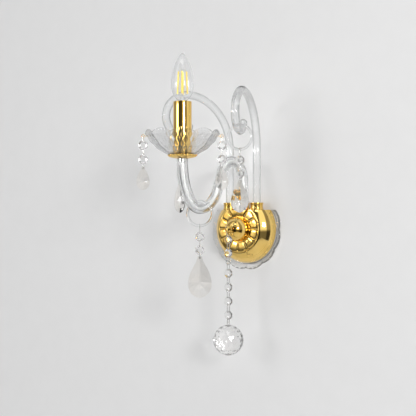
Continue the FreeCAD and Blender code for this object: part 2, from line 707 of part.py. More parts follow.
def candle_tube():
    wall = "dims.sleeve_diameter / 2 - dims.sleeve_wall"
    outline = [(wall, "0"), ("dims.sleeve_diameter / 2", "0"),
               ("dims.sleeve_diameter / 2", "dims.sleeve_length"), (wall, "dims.sleeve_length")]
    node(turned("sleeve", outline, "0", candle_y, bobeche_floor), "candle_sleeve")
    nipple_foot = "(dims.cup_height + dims.arm_seat - 8)"
    nipple = [("dims.cable_diameter / 2 + 0.4", "0"), ("dims.stud_diameter / 2", "0"),
              ("dims.stud_diameter / 2", "%s + 6 - %s" % (holder_base, nipple_foot)),
              ("dims.cable_diameter / 2 + 0.4", "%s + 6 - %s" % (holder_base, nipple_foot))]
    node(turned("nipple", nipple, "0", candle_y, nipple_foot), "arm_nipple")
    nut = hex_nut("nipple_nut", "dims.nut_flats", "dims.stud_diameter / 2", "dims.nut_height",
                  "0", candle_y, bobeche_floor)
    node(nut, "nipple_nut")


socket_radius = "dims.cap_diameter / 2 + 0.25"
contact_seat = "(%s + dims.holder_length - dims.socket_depth)" % holder_base
cap_base = "(%s + 1.5)" % contact_seat


def lampholder():
    outside = "dims.holder_diameter / 2"
    deep = "dims.holder_length - dims.socket_depth"
    outline = [
        ("dims.stud_diameter / 2", "0"),
        (outside, "0"),
        (outside, "dims.holder_length"),
        (socket_radius, "dims.holder_length"),
        (socket_radius, deep),
        ("2", deep),
        ("2", deep + " - 4"),
        (outside + " - 2", deep + " - 4"),
        (outside + " - 2", "8"),
        ("dims.stud_diameter / 2", "8"),
    ]
    node(turned("holder", outline, "0", candle_y, holder_base), "lampholder")
    disc = [("0", "0"), ("3.4", "0"), ("3.4", "0.6"), ("2", "1.2"), ("0", "1.2")]
    contact = turned("holder_contact_body", disc, "0", candle_y, contact_seat)
    node(contact, "holder_contact")


# ---- bulb: everything here lifts out of the lampholder together
cap_foot = "(%s + dims.contact_height + dims.insulator_height)" % cap_base
cap_top = "(%s + dims.cap_height)" % cap_foot


def bulb():
    outside = "dims.cap_diameter / 2"
    inside = outside + " - dims.cap_wall"
    shell = turned("cap_shell", [(inside, "0"), (outside, "0"), (outside, "dims.cap_height"),
                                 (inside, "dims.cap_height")], "0", candle_y, cap_foot)
    node(shell, "bulb_cap")
    tip = [("0", "0"), ("2.4", "0"), ("2.4", "dims.contact_height"),
           (inside, "dims.contact_height + dims.insulator_height"),
           (inside, "dims.contact_height + dims.insulator_height + 1"),
           ("0", "dims.contact_height + dims.insulator_height + 1")]
    node(turned("cap_insulator", tip, "0", candle_y, cap_base), "bulb_insulator")

    def envelope(inset):
        """Candle bulb from its half outline: a neck, a flare to the belly and a taper to the tip."""
        neck = value("dims.cap_diameter / 2 - dims.cap_wall") - 0.2 - inset
        belly = value("dims.bulb_diameter / 2") - inset
        waist = value("dims.bulb_belly")
        low = value("%s - 5 - %s" % (cap_top, cap_base))
        top = value("dims.bulb_length") - inset * 1.6
        shoulder = low + 6
        flare = (waist - shoulder) * 0.08
        swell = (waist - shoulder) * 0.74
        taper = (top - waist) * 0.4
        tip = 0.9

        def curve(poles):
            line = Part.BezierCurve()
            line.setPoles([Vector(r, 0, z) for r, z in poles])
            return line.toShape()

        def line(*ends):
            return Part.LineSegment(*[Vector(r, 0, z) for r, z in ends]).toShape()

        edges = [line((0, low), (neck, low)), line((neck, low), (neck, shoulder)),
                 curve([(neck, shoulder), (neck, shoulder + flare), (belly, waist - swell), (belly, waist)]),
                 curve([(belly, waist), (belly, waist + taper), (belly / 2, top - 0.2 * taper), (tip, top)]),
                 line((tip, top), (0, top)), line((0, top), (0, low))]
        return Part.Face(Part.Wire(edges)).revolve(Vector(0, 0, 0), Vector(0, 0, 1), 360)

    hollow = envelope(value("dims.bulb_glass"))
    glass = envelope(0).cut(hollow)
    node(solid("bulb_envelope", glass, "0", candle_y, cap_base), "bulb_glass")

    stem_foot = "(%s - 4.2 - %s)" % (cap_top, cap_base)
    stem = turned("stem", [("0", stem_foot), ("dims.cap_diameter / 2 - dims.cap_wall - 1.2", stem_foot),
                           ("dims.stem_diameter / 2", stem_foot + " + 9"),
                           ("dims.stem_diameter / 2 - 1.4", "dims.stick_base - 4"),
                           ("0", "dims.stick_base - 4")], "0", candle_y, cap_base)
    node(stem, "bulb_stem")
    sticks = []
    wires = []
    circle = value("dims.stick_circle")
    foot = value("dims.stick_base")
    long = value("dims.stick_length")
    wire = value("dims.wire_diameter / 2")
    crown = foot + long + 4
    for index in range(4):
        angle = math.radians(90 * index + 30)
        out = Vector(math.cos(angle), math.sin(angle), 0)
        lift = Vector(0, 0, 1)
        low = out * circle + lift * foot
        high = out * (circle - 1.4) + lift * (foot + long)
        stick = Part.makeCylinder(value("dims.stick_diameter / 2"), (high - low).Length, low, high - low)
        sticks.append(stick)
        for a, b in ((lift * (foot - 3), low), (high, lift * crown)):
            wires.append(Part.makeCylinder(wire, (b - a).Length, a, b - a))
    web = Part.makeCylinder(wire, crown - foot + 4, lift * (foot - 4))
    for piece in wires:
        web = web.fuse(piece)
    for stick in sticks:
        web = web.cut(stick)
    node(group("stick_set", [solid("stick", stick, "0", candle_y, cap_base) for stick in sticks]),
         "bulb_filaments")
    node(solid("wire_web", web, "0", candle_y, cap_base), "bulb_wires")


# ---- hanging crystal. Each string is drawn in its own frame: it hangs along -Z from the middle of the wire
# that carries it, its beads face along Y, and its links lie in the YZ plane.
def octagon_bead():
    """Eight-sided bead with bevelled faces and a hole near the top and near the bottom."""
    girdle = value("dims.bead_width / 2") / math.cos(math.pi / 8)
    thick = value("dims.bead_thick / 2")
    edge = value("dims.bead_edge / 2")
    levels = [(girdle * 0.5, -thick), (girdle, -edge), (girdle, edge), (girdle * 0.5, thick)]
    shape = faceted([ring_points(8, r, z, 22.5) for r, z in levels])
    shape.rotate(Vector(0, 0, 0), Vector(1, 0, 0), 90)
    inset = value("dims.bead_width / 2 - dims.bead_inset")
    for side in (-1, 1):
        start = Vector(0, -thick - 1, side * inset)
        hole = Part.makeCylinder(value("dims.bead_hole / 2"), 2 * thick + 2, start, Vector(0, 1, 0))
        shape = shape.cut(hole)
    return shape


def beads_at(name, depths, x, y, z, turn):
    bead = octagon_bead()
    items = [solid(name + "_bead", bead.translated(Vector(0, 0, -depth)), x, y, z, turn) for depth in depths]
    node(group(name + "_bead_set", items), name + "_beads")


def links_at(name, spans, x, y, z, turn):
    """Wire loops; each span is the depth of its top and bottom bars."""
    width, corner, wire = (value("dims." + word) for word in ("link_width", "link_corner", "link_wire"))
    items = []
    for top, bottom in spans:
        loop = rounded_loop(width, -top, -bottom, corner, wire)
        items.append(solid(name + "_link", loop, x, y, z, turn))
    node(group(name + "_link_set", items), name + "_links")


# Half widths of a pear drop's outline at shares of its length, from the holed end down.
drop_outline = [(0, 0.20), (0.12, 0.30), (0.29, 0.64), (0.45, 0.88), (0.60, 1.0), (0.75, 0.97),
                (0.88, 0.74), (0.96, 0.40)]
drop_middle = 0.60


def pear_drop(length):
    """Flat pear, cut to a point on each face, with a hole at the narrow end, which is at the origin."""
    half = length * value("dims.drop_share") / 2
    thick = length * value("dims.drop_thick_share") / 2
    edge = value("dims.bead_edge / 2")
    side = [(half * share, -length * down) for down, share in drop_outline]
    outline = side + [(0, -length)] + [(-x, z) for x, z in reversed(side)]
    count = len(outline)
    girdles = [[Vector(x, y, z) for x, z in outline] for y in (-edge, edge)]
    faces = [(girdles[0][k], girdles[0][(k + 1) % count], girdles[1][(k + 1) % count], girdles[1][k])
             for k in range(count)]
    for girdle, y in zip(girdles, (-thick, thick)):
        point = Vector(0, y, -drop_middle * length)
        faces += [(girdle[k], girdle[(k + 1) % count], point) for k in range(count)]
    shape = flat_sided(faces).translated(Vector(0, 0, value("dims.drop_hole_inset")))
    start = Vector(0, -2 * thick, 0)
    hole = Part.makeCylinder(value("dims.bead_hole / 2"), 4 * thick, start, Vector(0, 1, 0))
    return shape.cut(hole)


def string_of_beads(name, wire, first, pitch, count, length, x, y, z, turn):
    """Links, beads and a drop below a carrying wire of a given radius. Returns the drop hole's depth."""
    inset = value("dims.bead_width / 2 - dims.bead_inset")
    clear = value("dims.link_wire / 2 + dims.seat_gap")
    centres = [first + pitch * index for index in range(count)]
    spans = [(-wire - clear, centres[0] - inset)]
    spans += [(above + inset, above + pitch - inset) for above in centres[:-1]]
    hang = centres[-1] + inset + pitch - 2 * inset - 2
    spans.append((centres[-1] + inset, hang))
    links_at(name, spans, x, y, z, turn)
    beads_at(name, centres, x, y, z, turn)
    drop = pear_drop(length).translated(Vector(0, 0, -hang))
    node(solid(name + "_pear", drop, x, y, z, turn), name + "_drop")
    return hang


def crook_spot(side):
    """Place and turn of a string on a crook: below the lowest point of its hook."""
    reach, low = crook_low_point()
    fan = math.radians(value("dims.crook_fan"))
    x = side * (value("dims.collar_spacing") + reach * math.sin(fan))
    y = -value("dims.collar_reach") - reach * math.cos(fan)
    return x, y, low, Rotation(Vector(0, 0, 1), side * value("dims.crook_fan"))


def ring_and_string(name, x, y, low, rod, length, turn):
    """Glass ring over a rod, with a string of two beads and a drop."""
    ring = value("dims.ring_diameter / 2 - dims.ring_wire / 2")
    wire = value("dims.ring_wire / 2")
    top = low + rod + value("dims.seat_gap") + wire
    facing = turn * out_from_wall
    node(torus(name + "_glass_ring", "(dims.ring_diameter - dims.ring_wire) / 2", "dims.ring_wire / 2",
               x, y, top - ring, facing), name + "_ring")
    foot = top - 2 * ring
    hang = string_of_beads(name, wire, value("dims.first_bead"), value("dims.bead_pitch"), 2, length,
                           x, y, foot, turn)
    print("%s pivot %.3f %.3f %.3f foot %.3f drop %.3f" % (name, x, y, low, foot, foot - hang))


def hanging_rings():
    rod = value("dims.crook_diameter / 2")
    for side, name in ((-1, "left"), (1, "right")):
        x, y, low, turn = crook_spot(side)
        ring_and_string(name, x, y, low, rod, value("dims.hook_drop_length"), turn)
    reach = arm_steps()[1]
    turn = Rotation(Vector(0, 0, 1), value("dims.arm_string_turn"))
    ring_and_string("arm", 0, -reach, value("dims.valley_height"), value("dims.arm_diameter / 2"),
                    value("dims.arm_drop_length"), turn)


def bobeche_strings():
    reach = value(pin_reach)
    foot = value(pin_height) - value("dims.eye_radius")
    for turn, name in zip(pin_turns, ("cup_left", "cup_right")):
        out = Rotation(Vector(0, 0, 1), turn)
        spot = out.multVec(Vector(0, -reach, 0))
        y = value(candle_y) + spot.y
        across = out * Rotation(Vector(0, 0, 1), 90)
        hang = string_of_beads(name, value("dims.pin_wire / 2"), value("dims.cup_first_bead"),
                               value("dims.chain_pitch"), 2, value("dims.small_drop_length"),
                               spot.x, y, foot, across)
        print("%s pivot %.3f %.3f %.3f drop %.3f" % (name, spot.x, y, foot, foot - hang))


ball_sides = 16
ball_cap_angle = 80


def ball_chain():
    y = "-" + chain_reach
    foot = -value(eye_drop)
    inset = value("dims.bead_width / 2 - dims.bead_inset")
    clear = value("dims.link_wire / 2 + dims.seat_gap")
    upper = value("dims.chain_pitch")
    first = value("dims.chain_first_bead")
    centres = [first, first + upper]
    joint = value("dims.joint_ring_radius")
    wire = value("dims.joint_ring_wire / 2")
    top = centres[1] + inset + value("dims.joint_link_rise")
    spans = [(-value("dims.eye_wire / 2") - clear, centres[0] - inset),
             (centres[0] + inset, centres[1] - inset), (centres[1] + inset, top + wire + clear)]
    links_at("chain_upper", spans, "0", y, foot, upright)
    beads_at("chain_upper", centres, "0", y, foot, upright)
    node(torus("joint_torus", "dims.joint_ring_radius", "dims.joint_ring_wire / 2", "0", y,
               foot - top - joint, out_from_wall), "joint_ring")
    pitch = value("dims.lower_pitch")
    bottom = top + 2 * joint
    lower = [bottom + value("dims.joint_link_drop") + pitch * index for index in range(4)]
    spans = [(bottom - wire - clear, lower[0] - inset)]
    spans += [(above + inset, above + pitch - inset) for above in lower[:-1]]
    links_at("chain_lower", spans, "0", y, foot, upright)
    beads_at("chain_lower", lower, "0", y, foot, upright)
    hang = lower[-1] + inset
    radius = value("dims.ball_diameter / 2")
    eye = value("dims.eye_radius")
    thin = value("dims.pin_wire / 2")
    ball_top = hang + value("dims.ball_link_length")
    eye_foot = ball_top - 0.4 - 2 * eye
    links_at("ball", [(hang, eye_foot + thin + clear)], "0", y, foot, upright)
    rings = []
    for index, angle in enumerate(range(-ball_cap_angle, ball_cap_angle + 1, 20)):
        lift = math.radians(angle)
        first_corner = 180 / ball_sides * (index % 2)
        rings.append(ring_points(ball_sides, radius * math.cos(lift), radius * math.sin(lift), first_corner))
    ball = gem(rings).translated(Vector(0, 0, -ball_top - radius))
    crown = -ball_top - radius * (1 - math.sin(math.radians(ball_cap_angle)))
    depth = value("dims.ball_pin_depth")
    socket = Part.makeCylinder(thin + 0.1, depth, Vector(0, 0, crown - depth), Vector(0, 0, 1))
    node(solid("ball_body", ball.cut(socket), "0", y, foot), "crystal_ball")
    shank_length = depth + (-eye_foot - 2 * eye) - crown + 0.2
    shank = Part.makeCylinder(thin, shank_length, Vector(0, 0, crown - depth))
    ring = Part.makeTorus(eye, thin, Vector(0, 0, -eye_foot - eye), Vector(0, 1, 0))
    node(solid("ball_pin_wire", shank.fuse(ring), "0", y, foot), "ball_pin")
    print("chain pivots y %.3f z %.3f %.3f %.3f" % (value(y), foot, foot - top, foot - hang))


wall_bracket()
centre_rod()
terminals()
glass_dish()
gold_bowl()
rosette_and_boss()
finial()
collars()
crooks()
glass_arm()
candle_cup()
bobeche()
bobeche_pins()
candle_tube()
lampholder()
bulb()
hanging_rings()
bobeche_strings()
ball_chain()
doc.recompute()

failed = [item.Name for item in doc.Objects if set(item.State) & {"Invalid", "Error"}]
if failed:
    raise ValueError("not rebuilt: " + ", ".join(failed))
os.makedirs("parts", exist_ok=True)
for name, item in nodes.items():
    shape = item.Shape
    if shape.isNull() or not shape.isValid() or not shape.Solids:
        raise ValueError("no valid solid in " + name)
    shape.exportStep("parts/%s.step" % name)
print(len(nodes), "pieces")
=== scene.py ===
import math

import bmesh
import bpy
import numpy as np
from mathutils import Matrix, Vector


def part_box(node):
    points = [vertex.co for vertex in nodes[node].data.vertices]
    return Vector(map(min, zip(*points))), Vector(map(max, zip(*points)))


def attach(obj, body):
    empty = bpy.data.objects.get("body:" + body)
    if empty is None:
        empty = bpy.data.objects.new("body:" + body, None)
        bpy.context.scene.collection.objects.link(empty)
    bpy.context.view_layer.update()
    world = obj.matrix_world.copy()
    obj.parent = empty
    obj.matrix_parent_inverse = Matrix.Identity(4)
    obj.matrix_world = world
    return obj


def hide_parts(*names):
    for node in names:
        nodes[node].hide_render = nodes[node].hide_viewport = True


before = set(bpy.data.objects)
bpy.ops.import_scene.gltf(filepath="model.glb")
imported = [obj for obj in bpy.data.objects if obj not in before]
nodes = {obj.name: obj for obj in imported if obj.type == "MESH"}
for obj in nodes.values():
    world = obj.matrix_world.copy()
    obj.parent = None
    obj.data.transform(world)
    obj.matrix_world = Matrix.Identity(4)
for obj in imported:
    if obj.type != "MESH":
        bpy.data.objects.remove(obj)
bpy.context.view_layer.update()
mm = 0.001
tau = 2 * math.pi
print("frame loaded:", len(nodes), "nodes")

# mesh helpers


def finishMesh(name, points, faces, sharpAngle=35, smooth=True):
    # Mesh object from points in mm and quads, doubles merged. A grid's faces all turn the same way along
    # its surface, so its inner walls face the hollow once the volume it holds is positive.
    mesh = bpy.data.meshes.new(name)
    mesh.from_pydata((points.reshape(-1, 3) * mm).tolist(), [], faces.tolist())
    work = bmesh.new()
    work.from_mesh(mesh)
    bmesh.ops.remove_doubles(work, verts=work.verts, dist=1e-6)
    bmesh.ops.dissolve_degenerate(work, edges=work.edges, dist=1e-7)
    if work.calc_volume(signed=True) < 0:
        bmesh.ops.reverse_faces(work, faces=work.faces)
    work.to_mesh(mesh)
    work.free()
    mesh.polygons.foreach_set("use_smooth", np.full(len(mesh.polygons), smooth))
    if smooth:
        mesh.set_sharp_from_angle(angle=math.radians(sharpAngle))
    piece = bpy.data.objects.new(name, mesh)
    bpy.context.scene.collection.objects.link(piece)
    return piece


def gridFaces(rows, columns, closedRows, closedColumns):
    # Quads of a grid of rows x columns points, joined round where asked.
    i, j = np.meshgrid(np.arange(rows if closedRows else rows - 1),
                       np.arange(columns if closedColumns else columns - 1), indexing="ij")
    down, across = (i + 1) % rows, (j + 1) % columns
    quads = np.stack([i * columns + j, i * columns + across, down * columns + across, down * columns + j], -1)
    return quads.reshape(-1, 4)


def turnedPiece(name, outline, count=96, spot=(0, 0, 0), lying=False, shape=None, sharpAngle=35):
    # Outline (r, h) carried round an axis: x = r cos a, y = r sin a, height h.
    # shape(r, h, a) may change r and h. Lying pieces have their axis out from the wall.
    outline = np.array(outline, float)
    angle = np.linspace(0, tau, count, endpoint=False)[:, None]
    radius = np.broadcast_to(outline[:, 0], (count, len(outline)))
    height = np.broadcast_to(outline[:, 1], (count, len(outline)))
    if shape:
        radius, height = shape(radius, height, angle)
    flat = np.stack([radius * np.cos(angle), radius * np.sin(angle), height], -1)
    if lying:
        flat = np.stack([flat[..., 0], -flat[..., 2], flat[..., 1]], -1)
    return finishMesh(name, flat + np.array(spot), gridFaces(count, len(outline), True, True), sharpAngle)


def roundedOutline(outline, radius=0.5, steps=4):
    # Each corner of a closed outline replaced by a short quadratic curve of steps + 1 points.
    outline = np.array(outline, float)
    back, ahead = np.roll(outline, 1, 0) - outline, np.roll(outline, -1, 0) - outline
    backLength = np.linalg.norm(back, axis=1, keepdims=True)
    aheadLength = np.linalg.norm(ahead, axis=1, keepdims=True)
    start = outline + back / backLength * np.minimum(radius, backLength * 0.45)
    end = outline + ahead / aheadLength * np.minimum(radius, aheadLength * 0.45)
    t = np.linspace(0, 1, steps + 1)[None, :, None]
    curve = (1 - t) ** 2 * start[:, None] + 2 * t * (1 - t) * outline[:, None] + t ** 2 * end[:, None]
    onAxis = (outline[:, 0] == 0)[:, None, None]
    return np.where(onAxis, outline[:, None], curve).reshape(-1, 2)


def bentPath(start, steps, spacing=1.2):
    # Points and headings of a path in an upright plane: straight runs, and arcs on which the heading
    # turns evenly. A step is (length, 0) for a run or (radius, degrees turned) for a bend.
    reach, height, heading = start[0], start[1], math.pi / 2
    spots, headings = [], []
    for size, turn in steps:
        if turn == 0:
            share = np.linspace(0, 1, max(2, int(size / spacing)))
            xs, zs = reach + share * size * math.cos(heading), height + share * size * math.sin(heading)
            angles = np.full(len(share), heading)
        else:
            bend = math.radians(turn)
            angles = heading - np.linspace(0, bend, max(6, int(abs(bend) * size / spacing)))
            sense = math.copysign(size, bend)
            xs = reach + sense * (math.sin(heading) - np.sin(angles))
            zs = height - sense * (math.cos(heading) - np.cos(angles))
        spots.append(np.stack([xs, zs], -1)[:-1])
        headings.append(angles[:-1])
        reach, height, heading = xs[-1], zs[-1], angles[-1]
    spots.append(np.array([[reach, height]]))
    headings.append(np.array([heading]))
    return np.concatenate(spots), np.concatenate(headings)


def sweepRings(spots, headings, radius, around=40):
    # Circles square to a path: C + R (cos a N + sin a B), N in the path's plane and B level across it.
    a = np.linspace(0, tau, around, endpoint=False)[None, :]
    radius = np.broadcast_to(radius, (len(spots),))[:, None]
    across = radius * np.sin(a)
    inPlane = radius * np.cos(a)
    reach = spots[:, :1] - inPlane * np.sin(headings)[:, None]
    height = spots[:, 1:] + inPlane * np.cos(headings)[:, None]
    return np.stack([across, -reach, height], -1)


def fanned(points, degrees, x=0.0, y=0.0):
    # Points turned about the upright axis and then moved.
    c, s = math.cos(math.radians(degrees)), math.sin(math.radians(degrees))
    turned = np.stack([points[..., 0] * c - points[..., 1] * s, points[..., 0] * s + points[..., 1] * c,
                       points[..., 2]], -1)
    return turned + np.array([x, y, 0])


# materials

glassValues = {"ior": 1.50, "crystalIor": 1.58}
goldValues = {"colour": (0.95, 0.67, 0.22), "deep": (0.82, 0.50, 0.10), "roughness": 0.10}


def newMaterial(name):
    material = bpy.data.materials.new(name)
    material.use_nodes = True
    tree = material.node_tree
    return material, tree, tree.nodes["Principled BSDF"]


def noiseOn(tree, scale, detail=3.0, stretch=(1, 1, 1)):
    # Noise on the piece's own coordinates, in metres.
    coords = tree.nodes.new("ShaderNodeTexCoord")
    mapping = tree.nodes.new("ShaderNodeMapping")
    noise = tree.nodes.new("ShaderNodeTexNoise")
    mapping.inputs["Scale"].default_value = stretch
    noise.inputs["Scale"].default_value = scale
    noise.inputs["Detail"].default_value = detail
    tree.links.new(coords.outputs["Object"], mapping.inputs["Vector"])
    tree.links.new(mapping.outputs["Vector"], noise.inputs["Vector"])
    return noise.outputs["Fac"]


def ramp(tree, fac, low, high, start=0.3, end=0.7):
    node = tree.nodes.new("ShaderNodeValToRGB")
    node.color_ramp.elements[0].position = start
    node.color_ramp.elements[1].position = end
    node.color_ramp.elements[0].color = (*low, 1)
    node.color_ramp.elements[1].color = (*high, 1)
    tree.links.new(fac, node.inputs["Fac"])
    return node.outputs["Color"]


def spread(tree, fac, low, high):
    node = tree.nodes.new("ShaderNodeMapRange")
    node.inputs["To Min"].default_value = low
    node.inputs["To Max"].default_value = high
    tree.links.new(fac, node.inputs["Value"])
    return node.outputs["Result"]


def bump(tree, height, shader, strength, distance=0.0004):
    node = tree.nodes.new("ShaderNodeBump")
    node.inputs["Strength"].default_value = strength
    node.inputs["Distance"].default_value = distance
    tree.links.new(height, node.inputs["Height"])
    tree.links.new(node.outputs["Normal"], shader.inputs["Normal"])


def glass(name, low=(0.95, 0.965, 0.97), high=(1, 1, 1), roughness=(0.0, 0.02), ripple=0.03, scale=90.0,
          stretch=(1, 1, 1), ior=glassValues["ior"], edgeShade=0.0, letThrough=0.9, thin=0.0,
          facetShaded=False):
    material, tree, shader = newMaterial(name)
    noise = noiseOn(tree, scale, 2.0, stretch)
    colour = ramp(tree, noise, low, high)
    if edgeShade:  # painted shade: the colour is darkened towards a rod's sides, where it is seen edge-on, so they look greyer than its middle
        facing = tree.nodes.new("ShaderNodeLayerWeight")
        shade = spread(tree, facing.outputs["Facing"], 1.0, 1.0 - edgeShade)
        shade.node.inputs["From Min"].default_value, shade.node.inputs["From Max"].default_value = 0.08, 0.5
        tint = tree.nodes.new("ShaderNodeVectorMath")
        tint.operation = "SCALE"
        tree.links.new(colour, tint.inputs[0])
        tree.links.new(shade, tint.inputs["Scale"])
        colour = tint.outputs["Vector"]
    if facetShaded:  # painted shade: each facet's colour is scaled by a painted shade value of its own
        facet_shade = tree.nodes.new("ShaderNodeAttribute")
        facet_shade.attribute_name = "facet_shade"
        facet = tree.nodes.new("ShaderNodeVectorMath")
        facet.operation = "SCALE"
        tree.links.new(colour, facet.inputs[0])
        tree.links.new(facet_shade.outputs["Fac"], facet.inputs["Scale"])
        colour = facet.outputs["Vector"]
    tree.links.new(colour, shader.inputs["Base Color"])
    tree.links.new(spread(tree, noise, *roughness), shader.inputs["Roughness"])
    shader.inputs["Transmission Weight"].default_value = 1.0
    shader.inputs["IOR"].default_value = ior
    bump(tree, noise, shader, ripple)
    rays = tree.nodes.new("ShaderNodeLightPath")  # lamps shine through, so the shadow on the wall stays pale
    through = tree.nodes.new("ShaderNodeBsdfTransparent")
    through.inputs["Color"].default_value = (letThrough, letThrough, letThrough, 1)
    mix = tree.nodes.new("ShaderNodeMixShader")
    share = spread(tree, rays.outputs["Is Shadow Ray"], thin, 1.0)  # thin glass bends only part of the light
    tree.links.new(share, mix.inputs["Fac"])
    tree.links.new(shader.outputs["BSDF"], mix.inputs[1])
    tree.links.new(through.outputs["BSDF"], mix.inputs[2])
    tree.links.new(mix.outputs["Shader"], tree.nodes["Material Output"].inputs["Surface"])
    return material


def metal(name, low, high, roughness, brush=(1, 1, 1), scale=160.0, relief=0.05):
    material, tree, shader = newMaterial(name)
    noise = noiseOn(tree, scale, 4.0, brush)
    tree.links.new(ramp(tree, noise, low, high), shader.inputs["Base Color"])
    tree.links.new(spread(tree, noise, roughness * 0.7, roughness * 1.4), shader.inputs["Roughness"])
    shader.inputs["Metallic"].default_value = 1.0
    bump(tree, noise, shader, relief)
    return material


def moulded(name, low, high, roughness, scale=220.0, relief=0.1):
    material, tree, shader = newMaterial(name)
    noise = noiseOn(tree, scale)
    tree.links.new(ramp(tree, noise, low, high), shader.inputs["Base Color"])
    tree.links.new(spread(tree, noise, roughness * 0.8, roughness * 1.2), shader.inputs["Roughness"])
    bump(tree, noise, shader, relief)
    return material


clearGlass = glass("clear_glass", edgeShade=0.45, letThrough=0.8)
cutGlass = glass("cut_glass", low=(0.98, 0.985, 0.99), ripple=0.05, scale=200.0, ior=1.36, letThrough=0.88,
                 thin=0.25)
dishGlass = glass("dish_glass", ripple=0.04, scale=200.0, ior=1.40, letThrough=0.88, thin=0.3)
armGlass = glass("arm_glass", ripple=0.05, scale=60.0, stretch=(1, 1, 0.25), edgeShade=0.25, letThrough=0.8)
crystal = glass("crystal", low=(0.96, 0.95, 0.94), ripple=0.01, scale=120.0, roughness=(0.0, 0.005),
                ior=glassValues["crystalIor"], letThrough=0.6)
# the drop crystal carries a painted shade on each facet
dropCrystal = glass("drop_crystal", low=(0.97, 0.94, 0.90), high=(1, 0.99, 0.97), ripple=0.01, scale=60.0,
                    roughness=(0.0, 0.005), ior=glassValues["crystalIor"], letThrough=0.6, facetShaded=True)
bulbGlass = glass("bulb_glass", low=(0.97, 0.975, 0.98), ripple=0.01, scale=40.0, ior=1.45, letThrough=0.95)
gold = metal("polished_gilt", goldValues["deep"], goldValues["colour"], goldValues["roughness"])
bowlGold = metal("bowl_gilt", (0.87, 0.58, 0.16), goldValues["colour"], 0.07, scale=45.0, relief=0.02)
bossGold = metal("boss_gilt", goldValues["deep"], goldValues["colour"], 0.08, scale=60.0, relief=0.03)
sleeveGold = metal("sleeve_gilt", goldValues["deep"], goldValues["colour"], 0.06, brush=(1, 1, 0.12),
                   relief=0.02)
plated = metal("bright_plated", (0.62, 0.62, 0.61), (0.82, 0.82, 0.80), 0.12, scale=400.0)
zinc = metal("zinc_steel", (0.50, 0.50, 0.51), (0.68, 0.68, 0.69), 0.34, scale=300.0, relief=0.15)
capMetal = metal("cap_metal", (0.70, 0.70, 0.71), (0.82, 0.82, 0.82), 0.25, scale=300.0)
whitePlastic = moulded("white_plastic", (0.78, 0.78, 0.75), (0.86, 0.86, 0.84), 0.45)
blackGlaze = moulded("black_glaze", (0.015, 0.015, 0.018), (0.04, 0.04, 0.045), 0.2)
cableSleeve = moulded("cable_sleeve", (0.80, 0.80, 0.79), (0.90, 0.90, 0.89), 0.25, scale=500.0, relief=0.2)
filament = moulded("filament_coat", (0.86, 0.60, 0.06), (0.98, 0.78, 0.16), 0.4, scale=900.0, relief=0.2)

nodeMaterials = {
    "wall_bracket": zinc, "centre_rod": zinc, "rod_nut": zinc, "collar_nuts": zinc, "arm_nipple": plated,
    "nipple_nut": zinc, "earth_screw": zinc, "terminal_screws": zinc, "holder_contact": zinc,
    "bulb_wires": zinc, "terminal_block": whitePlastic, "lampholder": whitePlastic, "bulb_cap": capMetal,
    "bulb_insulator": blackGlaze, "arm_cable": cableSleeve, "bulb_filaments": filament, "bulb_stem": bulbGlass,
    "finial": gold, "bobeche_pins": gold, "ball_pin": plated, "joint_ring": plated,
    "crystal_ball": crystal,
}
for string in ("left", "right", "arm", "cup_left", "cup_right"):
    nodeMaterials[string + "_links"] = plated
    nodeMaterials[string + "_beads"] = crystal
for run in ("chain_upper", "chain_lower"):
    nodeMaterials[run + "_links"] = plated
    nodeMaterials[run + "_beads"] = crystal
nodeMaterials["ball_links"] = plated
for name, material in nodeMaterials.items():
    mesh = nodes[name].data
    mesh.materials.clear()
    mesh.materials.append(material)
print("materials on", len(nodeMaterials), "carried-over nodes")


def add(piece, material, body, slotName, *replaced):
    piece.data.materials.append(material)
    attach(piece, body)
    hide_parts(*replaced)
    return piece


# base on the wall

baseValues = {"seat": 6.1, "bowlRadius": 57.0, "bowlDepth": 36.0, "bowlFront": 25.4, "sheet": 1.2, "flat": 32.0,
              "lobes": 12, "dishRadius": 68.5, "dishNotch": 2.6, "rosetteRadius": 38.5, "rosetteNotch": 2.4,
              "petalSwell": 2.6, "petalStart": 21.4, "petalSides": 6, "bossRadius": 20.5, "bossDepth": 23.8,
              "bossCrown": 1.0, "rodRadius": 4.05}


def bowlSide(values, inset):
    # radius and reach from the rim to the middle: R cos u, D sin u up to the flat front, then straight in
    radius, depth, front = (values[key] - inset for key in ("bowlRadius", "bowlDepth", "bowlFront"))
    u = np.linspace(0, math.asin(front / depth) - 0.03, 70)
    curve = np.stack([radius * np.cos(u), depth * np.sin(u)], -1)
    corner = radius * math.sqrt(1 - (front / depth) ** 2)
    t = np.linspace(0, 1, 7)[1:, None]
    crease = (1 - t) ** 2 * curve[-1] + 2 * t * (1 - t) * np.array([corner, front]) + t ** 2 * np.array(
        [corner - 1.5, front])
    level = np.array([[values["flat"] - inset, front], [20.0, front], [values["rodRadius"], front]])
    return np.concatenate([curve, crease, level]) + np.array([0, values["seat"]])


def flatTopped(side, flat, around=240, across=60):
    # each ring is a circle below the flat, r (cos a, sin a), and then a chord level with it, end to end
    radius, reach = side[:, :1], side[:, 1:]
    start = np.arcsin(np.minimum(flat / radius, 1))
    angle = start - np.linspace(0, 1, around) * (math.pi + 2 * start)
    chord = np.linspace(-1, 1, across)[1:-1] * radius * np.cos(start)
    x = np.concatenate([radius * np.cos(angle), chord], 1)
    z = np.concatenate([radius * np.sin(angle), 0 * chord + radius * np.sin(start)], 1)
    return np.stack([x, np.broadcast_to(-reach, x.shape), z], -1)


def halfBowl(values):
    outside = flatTopped(bowlSide(values, 0.0), values["flat"])
    inside = flatTopped(bowlSide(values, values["sheet"]), values["flat"] - values["sheet"])
    rings = np.concatenate([outside, inside[::-1]])
    return finishMesh("bowl", rings, gridFaces(*rings.shape[:2], True, True), 40)


